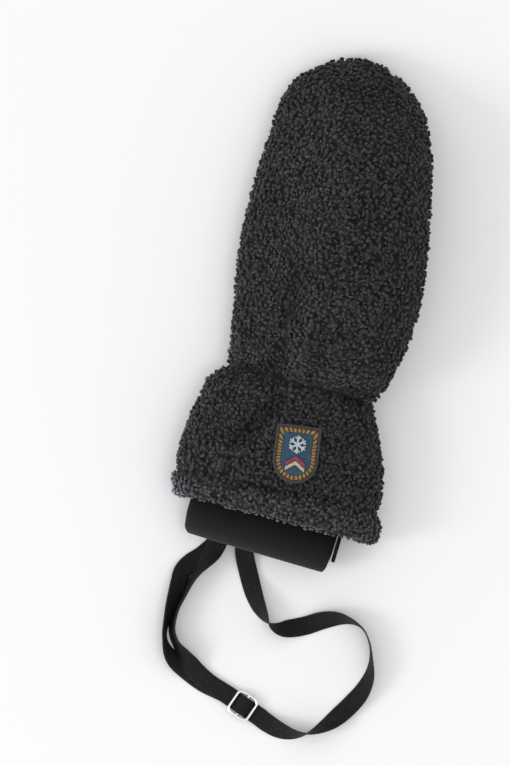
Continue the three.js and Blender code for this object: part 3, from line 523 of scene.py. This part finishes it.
def scatterCurls(base, name, apart, seed, shape):
    piece = addPiece(name, base.data.copy())
    tree, source, out = geometryTree(name + "_scatter")
    curly = namedFloat(tree, "curly")
    limits = {0: curly, 1: curl["where"]}
    chosen = put(tree, "FunctionNodeCompare", limits, operation="GREATER_THAN").outputs[0]
    points = put(
        tree,
        "GeometryNodeDistributePointsOnFaces",
        {
            "Mesh": source,
            "Selection": chosen,
            "Distance Min": apart,
            "Density Max": curl["density"],
            "Seed": seed,
        },
        distribute_method="POISSON",
    )
    form = put(tree, "GeometryNodeObjectInfo", {"Object": shape})
    size = put(
        tree,
        "FunctionNodeRandomValue",
        {0: curl["smallest"], 1: curl["largest"], "Seed": curl["seeds"]["size"]},
        data_type="FLOAT_VECTOR",
    ).outputs[0]
    placed = put(
        tree,
        "GeometryNodeInstanceOnPoints",
        {
            "Points": points.outputs[0],
            "Instance": form.outputs["Geometry"],
            "Rotation": points.outputs["Rotation"],
            "Scale": size,
        },
    ).outputs[0]
    lean = curl["lean"]
    turn = put(
        tree,
        "FunctionNodeRandomValue",
        {0: (-lean, -lean, 0), 1: (lean, lean, 6.28), "Seed": curl["seeds"]["turn"]},
        data_type="FLOAT_VECTOR",
    ).outputs[0]
    turned = put(tree, "GeometryNodeRotateInstances", {"Instances": placed, "Rotation": turn}).outputs[0]
    shades = {2: 0.0, 3: 1.0, "Seed": curl["seeds"]["tone"]}
    shade = put(tree, "FunctionNodeRandomValue", shades, data_type="FLOAT").outputs[1]
    toned = store(tree, turned, "tone", shade, "INSTANCE")
    whole = put(tree, "GeometryNodeRealizeInstances", {"Geometry": toned}).outputs[0]
    # The curl's painted light is kept as pile for the fleece's colour
    whole = store(tree, whole, "pile", namedFloat(tree, "rise"))
    tree.links.new(whole, out.inputs[0])
    piece.modifiers.new("scatter", "NODES").node_group = tree
    return bake(piece)


# Fleece
fleeceLook = {
    "creases": 0.009,
    "tops": 0.0555,
    "creaseEnd": 0.22,
    "contrast": 1.3,
    "cloudScale": 45.0,
    "fibreScale": 2600.0,
    "patches": (0.2, 0.8, 0.6, 1.4),
    "bump": 0.0003,
}
fleece, tree, shader = newMaterial("fleece", Roughness=0.95)
pileShadeShare = attributeOf(tree, "pile")
toneShare = attributeOf(tree, "tone")
cloud = noiseOf(tree, fleeceLook["cloudScale"], 3.0)
fibres = noiseOf(tree, fleeceLook["fibreScale"], 2.0)
# Painted shade in the creases between lumps and at the curls' bases, painted highlight on their tops
depth = ranged(tree, pileShadeShare, fleeceLook["creaseEnd"], 1.0, 0.0, 1.0)
depth = calc(tree, "POWER", depth, fleeceLook["contrast"])
shaded = mixColour(tree, depth, grey(fleeceLook["creases"]), grey(fleeceLook["tops"]))
lively = calc(tree, "ADD", calc(tree, "MULTIPLY", toneShare, 0.5), calc(tree, "MULTIPLY", cloud, 0.5))
factor = ranged(tree, lively, *fleeceLook["patches"])
# The pale attribute brings the painted shade and highlight of folds, seams, hem, tufts and walls
factor = calc(tree, "MULTIPLY", factor, attributeOf(tree, "pale"))
tree.links.new(scaled(tree, shaded, factor), shader.inputs["Base Color"])
shader.inputs["Specular IOR Level"].default_value = 0.15
shader.inputs["Sheen Weight"].default_value = 0.1
shader.inputs["Sheen Roughness"].default_value = 0.6
addBump(tree, shader, fibres, fleeceLook["bump"], 0.7)

curlForm = curlShape("curl")

# Each fold's dark is painted shade along its dent; each tuft's pale is a painted highlight
fleecePieces = {
    "hand_back": {
        "voxel": 1.75 * mm,
        "relax": 5,
        "apart": 2.6 * mm,
        "curls": "hand_curls",
        "seed": 3,
        "folds": [
            {"line": [(-19, 118), (-19, 100), (-18, 78), (-18, 52)], "width": 6, "depth": 1.8, "dark": 0.5},
            {"line": [(6, 74), (8, 52)], "width": 5, "depth": 1.5, "dark": 0.14},
            {"line": [(30, 47), (46, 46)], "width": 4, "depth": 1.5, "dark": 0.3},
        ],
    },
    "gauntlet": {
        "voxel": 1.7 * mm,
        "relax": 3,
        "apart": 2.5 * mm,
        "curls": "gauntlet_curls",
        "seed": 5,
        "hem": -25.5,
        "folds": [
            {"line": [(-12, 32), (-20, 19), (-35, -1)], "width": 5.5, "depth": 2.4, "dark": 0.45},
            {"line": [(28, 40), (44, 39)], "width": 4, "depth": 1.5, "dark": 0.3},
        ],
        "tufts": [{"spot": (-67, -40), "width": 7, "depth": 2.2, "pale": 1.6}],
    },
    "thumb_fleece": {
        "voxel": 1.7 * mm,
        "relax": 3,
        "apart": 2.6 * mm,
        "curls": "thumb_curls",
        "seed": 7,
        "folds": [],
    },
}
for nodeName, make in fleecePieces.items():
    shell = evenCopy(nodeName, nodeName + "_pile", make["voxel"], make["relax"])
    meetNeighbours(shell, nodeName)
    markOutside(shell.data)
    pressFolds(shell.data, make, othersTree(nodeName))
    refineOutside(shell.data)
    raisePile(shell)
    curls = scatterCurls(shell, make["curls"], make["apart"], make["seed"], curlForm)
    restOnFloor(shell.data)
    restOnFloor(curls.data)
    finishPiece(shell, fleece, "fleece", nodeName)
    finishPiece(curls, fleece, "fleece")
bpy.data.objects.remove(curlForm)
print("fleece done")

# Suede of the palm and of the thumb's strip
suedeLook = {"greys": (0.017, 0.03), "napScale": 38.0, "grainScale": 1500.0, "bump": 0.0002, "relax": 4}
suede, tree, shader = newMaterial("suede", Roughness=0.85)
nap = noiseOf(tree, suedeLook["napScale"], 4.0, Roughness=0.6)
grain = noiseOf(tree, suedeLook["grainScale"], 2.0)
napShare = ranged(tree, nap, 0.35, 0.65, 0.0, 1.0)
tree.links.new(mixColour(tree, napShare, *map(grey, suedeLook["greys"])), shader.inputs["Base Color"])
shader.inputs["Specular IOR Level"].default_value = 0.2
shader.inputs["Sheen Weight"].default_value = 0.2
addBump(tree, shader, grain, suedeLook["bump"], 0.6)
for nodeName, voxel in (("palm_panel", 1.8 * mm), ("thumb_strip", 1.2 * mm)):
    panel = evenCopy(nodeName, nodeName + "_suede", voxel, suedeLook["relax"])
    meetNeighbours(panel, nodeName)
    restOnFloor(panel.data)
    finishPiece(panel, suede, "suede", nodeName)
print("suede done")

# Knitted inner cuff: one ring of points for each step, with every rib as a ridge
ribs = {
    "count": 160,
    "wristY": 44 * mm,
    "length": 113 * mm,
    "wristSlant": 0.05,
    "foldSlant": 0.076,
    "depth": 0.3 * mm,
    "wall": 2.2 * mm,
    "soften": 1.6 * mm,
    "foldReach": 30 * mm,
    "middle": -4,
    "far": 0.12,
    "rays": 720,
    "profile": [-1.0, 0.35, 1.0, 0.35],
    "outer": ((0.4, 96, 20), (98, 110.6, 10)),
    "turn": ((112.0, 0.25), (112.6, 0.5), (112.0, 0.78)),
    "inner": ((110.6, 60, 12),),
    "innerEnd": (30, 12, 0.4),
}
ribTree = treeOf("rib_cuff")


# Ring of points around the tube, spaced evenly and raised into ribs, with each one's height
def ribRing(down, inset):
    share = down / ribs["length"]
    slant = ribs["wristSlant"] + (ribs["foldSlant"] - ribs["wristSlant"]) * share
    level = ribs["wristY"] - down
    centre = Vector((ribs["middle"] * mm, level - slant * ribs["middle"] * mm, 0))
    low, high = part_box("rib_cuff")
    above = ribTree.ray_cast(centre + Vector((0, 0, high.z + 0.02)), Vector((0, 0, -1)))[0]
    under = ribTree.ray_cast(centre + Vector((0, 0, low.z - 0.02)), Vector((0, 0, 1)))[0]
    centre.z = (above.z + under.z) / 2
    points = []
    for step in range(ribs["rays"]):
        angle = step / ribs["rays"] * 2 * math.pi
        way = Vector((math.cos(angle), -slant * math.cos(angle), math.sin(angle))).normalized()
        hit = ribTree.ray_cast(centre + way * ribs["far"], -way)[0]
        points.append(hit if hit is not None and (hit - centre).dot(way) > 0 else points[-1])
    points = np.array([list(p) for p in points])
    gaps = np.linalg.norm(np.roll(points, -1, 0) - points, axis=1)
    run = np.concatenate([[0], np.cumsum(gaps)])
    count = ribs["count"] * len(ribs["profile"])
    at = np.linspace(0, run[-1], count, endpoint=False)
    closed = np.vstack([points, points[:1]])
    even = np.stack([np.interp(at, run, closed[:, axis]) for axis in range(3)], 1)
    reach = ribs["soften"] / (run[-1] / count)
    offsets = np.arange(-int(3 * reach), int(3 * reach) + 1)
    weights = np.exp(-0.5 * (offsets / reach) ** 2)
    soft = sum(w * np.roll(even, o, 0) for w, o in zip(weights / weights.sum(), offsets))
    along = np.roll(soft, -1, 0) - np.roll(soft, 1, 0)
    outward = np.stack([along[:, 2], np.zeros(count), -along[:, 0]], 1)
    outward /= np.linalg.norm(outward, axis=1)[:, None]
    ridge = np.tile(ribs["profile"], ribs["count"]) * ribs["depth"] / 2
    return soft + outward * (ridge - inset)[:, None], ridge / ribs["depth"] + 0.5


# Extrudes a ring of points once; the new ring keeps the order
def growRing(work, ring):
    old = set(ring)
    loop = {e for v in ring for e in v.link_edges if e.other_vert(v) in old}
    grown = bmesh.ops.extrude_edge_only(work, edges=list(loop))["geom"]
    fresh = {v for v in grown if isinstance(v, bmesh.types.BMVert)}
    return [next(e.other_vert(v) for e in v.link_edges if e.other_vert(v) in fresh) for v in ring]


def edgesWithin(ring):
    members = set(ring)
    return list({e for v in ring for e in v.link_edges if e.other_vert(v) in members})


def downSteps(runs):
    return [down for start, end, count in runs for down in np.linspace(start * mm, end * mm, count)]


def buildRibs():
    work = bmesh.new()
    layer = work.verts.layers.float.new("ridge")
    fold = work.verts.layers.float.new("fold")
    wall = ribs["wall"]
    path = [(down, ribs["depth"] / 2) for down in downSteps(ribs["outer"])]
    path += [(down * mm, share * wall) for down, share in ribs["turn"]]
    path += [(down, wall) for down in downSteps(ribs["inner"])]
    path += [(down * mm, wall) for down in ribs["innerEnd"]]
    count = ribs["count"] * len(ribs["profile"])
    ring = first = bmesh.ops.create_circle(work, segments=count, radius=0.05)["verts"]
    for step, (down, inset) in enumerate(path):
        if step > 0:
            ring = growRing(work, ring)
        points, ridge = ribRing(down, inset)
        for vertex, point, high in zip(ring, points, ridge):
            vertex.co = point
            vertex[layer] = high
            # Painted light: the share rises towards the lower fold, where the knit is painted paler
            vertex[fold] = max(0.0, 1 - (ribs["length"] - down) / ribs["foldReach"]) ** 2
    bmesh.ops.bridge_loops(work, edges=edgesWithin(first) + edgesWithin(ring))
    bmesh.ops.recalc_face_normals(work, faces=work.faces)
    mesh = bpy.data.meshes.new("rib_knit")
    work.to_mesh(mesh)
    work.free()
    return addPiece("rib_knit", mesh)


# Greys of groove and ridge (darker grooves: painted shade), in the tube (painted shade under the hem) and
# at the lower fold (painted highlight)
knitLook = {"tube": (0.0008, 0.0035), "fold": (0.013, 0.038), "fuzzScale": 1800.0, "bump": 0.0002}
knit, tree, shader = newMaterial("knit", Roughness=0.9)
ridgeShare = attributeOf(tree, "ridge")
fuzz = noiseOf(tree, knitLook["fuzzScale"], 2.0)
tube, foldHighlight = (mixColour(tree, ridgeShare, *map(grey, knitLook[part])) for part in ("tube", "fold"))
tree.links.new(mixColour(tree, attributeOf(tree, "fold"), tube, foldHighlight), shader.inputs["Base Color"])
shader.inputs["Specular IOR Level"].default_value = 0.08
shader.inputs["Sheen Weight"].default_value = 0.12
shader.inputs["Sheen Roughness"].default_value = 0.5
addBump(tree, shader, fuzz, knitLook["bump"], 0.6)
finishPiece(buildRibs(), knit, "knit", "rib_cuff")
print("knit done")

# Webbing strap: the same route as its solid, with finer steps
strap = {
    "width": 12 * mm,
    "thick": 0.9 * mm,
    "spread": 136 * mm,
    "reach": 112 * mm,
    "ribEnd": -69 * mm,
    "step": 1.6 * mm,
    "smooth": 4,
    "section": ((1, 0.45), (0.97, 1), (0.6, 1.0), (0, 1.0), (-0.6, 1.0), (-0.97, 1), (-1, 0.45)),
    "level": 0.35,
}
# Stations of the strap: shares across and down from the cuff's edge, roll, height in mm
strapOut = [
    (-0.102, -0.09, 0, 4.3), (-0.104, -0.051, 0, 4.2), (-0.107, -0.009, 0, 3.5),
    (-0.062, 0.122, 0, 0.4), (-0.006, 0.251, 28, 0), (0.04, 0.326, 52, 0), (0.085, 0.378, 91, 0),
    (0.131, 0.39, 135, 0), (0.182, 0.377, 166, 0), (0.251, 0.343, 180, 0.3), (0.325, 0.293, 197, 0.3),
    (0.4, 0.264, 227, 0), (0.468, 0.267, 262, 0), (0.52, 0.294, 270, 0), (0.561, 0.361, 270, 0),
    (0.586, 0.454, 266, 0), (0.592, 0.554, 238, 0), (0.573, 0.649, 210, 0), (0.538, 0.729, 190, 0.6),
    (0.493, 0.806, 198, 0.6), (0.442, 0.874, 228, 0), (0.367, 0.942, 270, 0), (0.294, 0.965, 306, 0),
    (0.22, 0.955, 338, 0.2), (0.143, 0.92, 358, 0.8),
]
strapInner = [
    (-0.143, 0.777, 360, 1.3), (-0.215, 0.724, 357, 1.3), (-0.255, 0.681, 335, 1.4),
    (-0.293, 0.636, 300, 0.8), (-0.332, 0.592, 289, 0.2), (-0.36, 0.531, 290, 0),
    (-0.365, 0.463, 285, 0), (-0.358, 0.396, 281, 0), (-0.341, 0.325, 279, 0),
    (-0.321, 0.234, 284, 0.4), (-0.303, 0.174, 290, 1.2), (-0.279, 0.116, 303, 1.9),
    (-0.248, 0.035, 350, 2.6),
]
strapOuter = [
    (-0.254, 0.007, 360, 0.3), (-0.294, 0.07, 360, 0), (-0.343, 0.13, 363, 0), (-0.37, 0.184, 374, 0),
    (-0.376, 0.249, 386, 0), (-0.383, 0.342, 400, 0), (-0.392, 0.452, 426, 0), (-0.393, 0.549, 443, 0),
    (-0.373, 0.619, 436, 0), (-0.33, 0.681, 395, 0), (-0.257, 0.733, 363, 0), (-0.166, 0.784, 360, 0),
]
buckleSpot = {"across": 0.039, "down": 0.865, "turn": 157.5}
loopSpot = {"across": -0.226, "down": -0.064, "turn": 75}
buckle = {"width": 17 * mm, "pitch": 7.1 * mm, "rod": 1.9 * mm, "gap": 0.25 * mm}


def strapPlace(across, down, over):
    return Vector((across * strap["spread"], strap["ribEnd"] - down * strap["reach"], over))


def throughSpot(spot, steps):
    turn = math.radians(spot["turn"])
    centre = strapPlace(spot["across"], spot["down"], 0)
    way = Vector((math.cos(turn), math.sin(turn), 0))
    half = strap["thick"] / 2
    return [(centre + way * step + Vector((0, 0, height - half)), 360) for step, height in steps]


# Over the buckle's middle bar and under both its ends
layer = strap["thick"] + buckle["gap"]
rodReach = buckle["rod"] / 2 + buckle["gap"] + strap["thick"] / 2
buckleHeight = buckle["gap"] + 2 * layer + buckle["rod"] / 2 + buckle["gap"]
underBar = buckleHeight - rodReach
overBar = buckleHeight + rodReach + layer
rise = overBar - underBar
pitch = buckle["pitch"]
overSteps = [
    (-1.9, underBar), (-1.35, underBar), (-1, underBar), (-0.78, underBar + 0.1 * rise),
    (-0.46, underBar + 0.5 * rise), (-0.2, overBar - 0.1 * rise), (0, overBar),
    (0.2, overBar - 0.1 * rise), (0.46, underBar + 0.5 * rise), (0.78, underBar + 0.1 * rise),
    (1, underBar), (1.35, underBar), (1.9, underBar),
]
throughBuckle = throughSpot(buckleSpot, [(step * pitch, height) for step, height in overSteps])
roundBar = throughSpot(
    buckleSpot,
    [
        (1.9 * pitch, underBar - layer), (pitch, underBar - layer),
        (0.6 * pitch, underBar - 0.75 * layer), (0.28 * pitch, underBar - 0.15 * layer),
        (0, buckleHeight - rodReach),
        (-0.72 * rodReach, buckleHeight - 0.7 * rodReach), (-rodReach, buckleHeight),
        (-0.72 * rodReach, buckleHeight + 0.7 * rodReach), (-0.1 * rodReach, buckleHeight + rodReach),
    ],
)
# Through the sewn loop, where the strap turns back under itself
loopSize = {"tape": 0.7 * mm, "depth": 5 * mm, "top": (5.6 - 0.35 - 0.7) * mm}
loopBar = loopSize["top"] - layer - buckle["gap"] - loopSize["tape"]
throughLoop = loopSize["top"] - buckle["gap"] - strap["thick"] / 2
underLoop = loopBar - buckle["gap"] - strap["thick"] / 2
turnBack = (throughLoop - underLoop) / 2
deep = loopSize["depth"]
roundLoop = throughSpot(
    loopSpot,
    [
        (-0.9 * deep, throughLoop), (0, throughLoop), (0.55 * deep, throughLoop),
        (0.55 * deep + 0.72 * turnBack, throughLoop - 0.3 * turnBack),
        (0.55 * deep + turnBack, throughLoop - turnBack),
        (0.55 * deep + 0.72 * turnBack, underLoop + 0.3 * turnBack), (0.55 * deep, underLoop),
        (0, underLoop), (-0.9 * deep, underLoop),
    ],
)


def routeOf(rows):
    return [(strapPlace(across, down, over * mm), roll) for across, down, roll, over in rows]


# Point of a curve through the stations that passes them evenly, without loops at close ones
def curvePoint(places, position):
    last = len(places) - 1
    i = min(int(position), last - 1)
    t = position - i
    p1, p2 = places[i], places[i + 1]
    p0 = places[i - 1] if i > 0 else p1 + (p1 - p2)
    p3 = places[i + 2] if i + 2 <= last else p2 + (p2 - p1)
    spans = ((p0, p1), (p1, p2), (p2, p3))
    before, between, after = (max((b - a).length, 1e-9) ** 0.5 for a, b in spans)
    first = ((p1 - p0) / before - (p2 - p0) / (before + between) + (p2 - p1) / between) * between
    second = ((p2 - p1) / between - (p3 - p1) / (between + after) + (p3 - p2) / after) * between
    square = -3 * p1 + 3 * p2 - 2 * first - second
    cube = 2 * p1 - 2 * p2 + first + second
    return p1 + first * t + square * t * t + cube * t * t * t


def strapSamples():
    stations = routeOf(strapOut) + throughBuckle + routeOf(strapInner)
    stations += roundLoop + routeOf(strapOuter) + roundBar
    places = [place for place, roll in stations]
    samples = []
    for i in range(len(stations) - 1):
        roll, nextRoll = stations[i][1], stations[i + 1][1]
        parts = max(1, math.ceil((places[i + 1] - places[i]).length / strap["step"]))
        for k in range(parts):
            t = k / parts
            samples.append((curvePoint(places, i + t), roll + (nextRoll - roll) * t))
    samples.append((places[-1], stations[-1][1]))
    return samples


def buildStrap():
    samples = strapSamples()
    window = 2 * strap["smooth"] + 1
    rolls = np.pad([roll for place, roll in samples], strap["smooth"], mode="edge")
    rolls = np.convolve(rolls, np.ones(window) / window, mode="valid")
    half, edge = strap["width"] / 2, strap["thick"] / 2
    section = [(w * half, t * edge) for w, t in strap["section"]]
    section += [(w, -t) for w, t in reversed(section)]
    work = bmesh.new()
    acrossLayer = work.verts.layers.float.new("across")
    alongLayer = work.verts.layers.float.new("along")
    centres = []
    for (place, roll), turn in zip(samples, np.radians(rolls)):
        tall = abs(math.sin(turn)) * strap["width"] + abs(math.cos(turn)) * strap["thick"]
        centres.append(Vector((place.x, place.y, max(place.z, 0) + tall / 2)))
    side = Vector((1, 0, 0))
    run = 0.0
    ring = first = bmesh.ops.create_circle(work, segments=len(section), radius=half)["verts"]
    for i, turn in enumerate(np.radians(rolls)):
        tangent = centres[min(i + 1, len(centres) - 1)] - centres[max(i - 1, 0)]
        level = Vector((tangent.y, -tangent.x, 0))
        if level.length > strap["level"] * tangent.length:
            level.normalize()
            side = -level if level.dot(side) < 0 else level
        wide = side * math.cos(turn)
        wide.z = math.sin(turn)
        thick = tangent.cross(wide).normalized()
        if i > 0:
            run += (centres[i] - centres[i - 1]).length
            ring = growRing(work, ring)
        for vertex, (w, t) in zip(ring, section):
            vertex.co = centres[i] + wide * w + thick * t
            vertex[acrossLayer] = w
            vertex[alongLayer] = run
    for end in (first, ring):
        bmesh.ops.edgeloop_fill(work, edges=edgesWithin(end))
    bmesh.ops.recalc_face_normals(work, faces=work.faces)
    mesh = bpy.data.meshes.new("strap_webbing")
    work.to_mesh(mesh)
    work.free()
    print("strap length", round(run, 4))
    return addPiece("strap_webbing", mesh)


webLook = {"cord": 0.8 * mm, "pick": 1.1 * mm, "woven": (0.0015, 0.01), "flecksAndPaleEdges": 0.03, "bump": 0.00025}
webbing, tree, shader = newMaterial("webbing", Roughness=0.7)
across = calc(tree, "MULTIPLY", attributeOf(tree, "across"), 1 / webLook["cord"])
along = calc(tree, "MULTIPLY", attributeOf(tree, "along"), 1 / webLook["pick"])
cords = calc(tree, "ABSOLUTE", calc(tree, "SINE", calc(tree, "MULTIPLY", across, math.pi)))
stagger = calc(tree, "ADD", along, calc(tree, "FLOOR", across))
picks = calc(tree, "SINE", calc(tree, "MULTIPLY", stagger, 2 * math.pi))
weave = calc(tree, "MULTIPLY_ADD", picks, 0.35, cords)
tint = calc(tree, "MULTIPLY_ADD", noiseOf(tree, 60.0, 3.0), 0.5, calc(tree, "MULTIPLY", weave, 0.5))
woven = mixColour(tree, tint, *map(grey, webLook["woven"]))
# Lint flecks, and the strap paler towards its edges
lint = ranged(tree, noiseOf(tree, 750.0, 3.0), 0.56, 0.74, 0.0, 0.8)
edges = calc(tree, "DIVIDE", calc(tree, "ABSOLUTE", attributeOf(tree, "across")), strap["width"] / 2)
edges = ranged(tree, edges, 0.8, 1.0, 0.0, 0.5)
flecksAndPaleEdges = calc(tree, "MAXIMUM", lint, edges)
tree.links.new(mixColour(tree, flecksAndPaleEdges, woven, grey(webLook["flecksAndPaleEdges"])), shader.inputs["Base Color"])
shader.inputs["Specular IOR Level"].default_value = 0.22
addBump(tree, shader, weave, webLook["bump"], 0.8)
finishPiece(buildStrap(), webbing, "webbing", "strap")


# Small pieces of tape
def bevelCopy(nodeName, pieceName, amount, cuts, swell=0.0):
    piece = solidCopy(nodeName, pieceName)
    work = bmesh.new()
    work.from_mesh(piece.data)
    bmesh.ops.dissolve_limit(work, angle_limit=math.radians(4), verts=work.verts, edges=work.edges)
    bmesh.ops.bevel(
        work, geom=list(work.edges), offset=amount, segments=cuts, profile=0.5, affect="EDGES", material=-1
    )
    for vertex in work.verts:
        vertex.co += vertex.normal * swell
    work.to_mesh(piece.data)
    work.free()
    return piece


tapeLook = {"greys": (0.001, 0.005), "threadScale": 300.0, "bump": 0.0002}
tape, tree, shader = newMaterial("tape", Roughness=0.75)
ribbing = {"Vector": objectPlace(tree), "Scale": tapeLook["threadScale"], "Distortion": 1.0}
threads = put(tree, "ShaderNodeTexWave", ribbing).outputs["Fac"]
tree.links.new(mixColour(tree, threads, *map(grey, tapeLook["greys"])), shader.inputs["Base Color"])
shader.inputs["Specular IOR Level"].default_value = 0.15
addBump(tree, shader, threads, tapeLook["bump"], 0.7)
finishPiece(bevelCopy("strap_loop", "strap_loop_tape", 0.15 * mm, 2), tape, "webbing", "strap_loop")
finishPiece(bevelCopy("side_tab", "side_tab_tape", 0.5 * mm, 3, 0.3 * mm), tape, "webbing", "side_tab")


# Slide buckle: a rounded frame of rod with a bar across it
def buildBuckle():
    half = (buckle["width"] - buckle["rod"]) / 2
    corner = 1.6 * buckle["rod"]
    data = bpy.data.curves.new("buckle_steel", "CURVE")
    data.dimensions = "3D"
    data.bevel_depth = buckle["rod"] / 2
    data.bevel_resolution = 6
    ring = data.splines.new("POLY")
    spots = []
    for sx, sy, start in ((1, 1, 0), (-1, 1, 90), (-1, -1, 180), (1, -1, 270)):
        for degrees in range(0, 91, 10):
            angle = math.radians(start + degrees)
            x = sx * (pitch - corner) + corner * math.cos(angle)
            spots.append((x, sy * (half - corner) + corner * math.sin(angle), 0))
    ring.points.add(len(spots) - 1)
    for point, spot in zip(ring.points, spots):
        point.co = (*spot, 1)
    ring.use_cyclic_u = True
    bar = data.splines.new("POLY")
    bar.points.add(1)
    bar.points[0].co = (0, -half, 0, 1)
    bar.points[1].co = (0, half, 0, 1)
    data.use_fill_caps = True
    made = bpy.data.objects.new("buckle_rods", data)
    bpy.context.collection.objects.link(made)
    graph = bpy.context.evaluated_depsgraph_get()
    mesh = bpy.data.meshes.new_from_object(made.evaluated_get(graph))
    bpy.data.objects.remove(made)
    turn = Matrix.Rotation(math.radians(buckleSpot["turn"]), 4, "Z")
    centre = strapPlace(buckleSpot["across"], buckleSpot["down"], buckleHeight)
    mesh.transform(Matrix.Translation(centre) @ turn)
    return addPiece("buckle_steel", mesh)


steel, tree, shader = newMaterial("steel", Metallic=1.0, Roughness=0.16)
scuffs = ranged(tree, noiseOf(tree, 900.0, 3.0), 0.0, 1.0, 0.2, 0.36)
tree.links.new(scuffs, shader.inputs["Roughness"])
shader.inputs["Base Color"].default_value = (0.9, 0.9, 0.91, 1)
finishPiece(buildBuckle(), steel, "steel", "buckle")
print("strap and buckle done")

# Badge: each layer keeps its outline, rounded like filled stitches
stitches = {"turn": 4.7, "wave": 0.31, "blocks": 36, "between": (0.035, 0.025, 0.015, 1), "bump": 0.00025}
badgeLow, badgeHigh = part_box("badge_base")
badgeCentre = (badgeLow + badgeHigh) / 2


# Shares of 0 and 1 in turn around the badge, for stitched blocks in its ring
def blocksAround(tree, count):
    away = vecCalc(tree, "SUBTRACT", objectPlace(tree), tuple(badgeCentre))
    parts = tree.nodes.new("ShaderNodeSeparateXYZ")
    tree.links.new(away, parts.inputs[0])
    angle = calc(tree, "ARCTAN2", parts.outputs[1], parts.outputs[0])
    wave = calc(tree, "SINE", calc(tree, "MULTIPLY", angle, float(count)))
    return ranged(tree, wave, -0.75, 0.1, 0.0, 1.0)


def threadMaterial(name, dark, pale, pitch, turn):
    material, tree, shader = newMaterial(name, Roughness=0.55)
    way = (0, 0, math.radians(turn + stitches["turn"]))
    turned = put(tree, "ShaderNodeMapping", {"Vector": objectPlace(tree), "Rotation": way}).outputs[0]
    rows = {"Vector": turned, "Scale": stitches["wave"] / pitch, "Distortion": 0.6, "Detail": 1.0}
    lines = put(tree, "ShaderNodeTexWave", rows).outputs["Fac"]
    colour = mixColour(tree, lines, dark, pale)
    if name == "thread_band":
        colour = mixColour(tree, blocksAround(tree, stitches["blocks"]), stitches["between"], colour)
    factor = ranged(tree, noiseOf(tree, 420.0, 2.0), 0.3, 0.7, 0.75, 1.15)
    tree.links.new(scaled(tree, colour, factor), shader.inputs["Base Color"])
    shader.inputs["Sheen Weight"].default_value = 0.1
    addBump(tree, shader, lines, stitches["bump"], 1.0)
    return material


# Slot, darkest and palest colour, stitch and its turn, voxel and smoothing of each layer
badgePieces = {
    "badge_base": ("border_thread", (0.01, 0.01, 0.011), (0.035, 0.034, 0.036), 0.45, 45, 0.4, 3),
    "badge_edge": ("border_thread", (0.01, 0.01, 0.011), (0.06, 0.057, 0.062), 0.6, 20, 0.3, 6),
    "badge_band": ("ochre_thread", (0.22, 0.1, 0.015), (0.62, 0.34, 0.08), 0.5, 70, 0.22, 5),
    "badge_field": ("blue_thread", (0.006, 0.03, 0.06), (0.03, 0.13, 0.24), 0.42, 90, 0.3, 3),
    "badge_flake": ("white_thread", (0.42, 0.46, 0.5), (0.8, 0.84, 0.87), 0.4, 30, 0.16, 3),
    "badge_chevron_red": ("red_thread", (0.2, 0.012, 0.02), (0.55, 0.05, 0.09), 0.45, 0, 0.2, 3),
    "badge_chevron_cream": ("cream_thread", (0.4, 0.34, 0.2), (0.78, 0.7, 0.46), 0.45, 0, 0.2, 3),
}
for nodeName, (slot, dark, pale, stitch, turn, voxel, relax) in badgePieces.items():
    threadName = nodeName.replace("badge", "thread")
    thread = threadMaterial(threadName, (*dark, 1), (*pale, 1), stitch * mm, turn)
    piece = evenCopy(nodeName, nodeName + "_stitched", voxel * mm, relax)
    finishPiece(piece, thread, slot, nodeName)
print("badge done")

# Floor
work = bmesh.new()
bmesh.ops.create_grid(work, x_segments=1, y_segments=1, size=6)
floorMesh = bpy.data.meshes.new("floor")
work.to_mesh(floorMesh)
work.free()
floor = addPiece("floor", floorMesh)
paper, tree, shader = newMaterial("paper", Roughness=0.9)
shader.inputs["Base Color"].default_value = (light["floor"], light["floor"], light["floor"] * 1.012, 1)
floorMesh.materials.append(paper)

# The low lamp at the side lights the mitten alone, so that the floor stays even
sideLit = bpy.data.collections.new("side_lit")
for piece in bpy.context.scene.objects:
    if piece.type == "MESH" and piece != floor:
        sideLit.objects.link(piece)
madeLamps["side"].light_linking.receiver_collection = sideLit
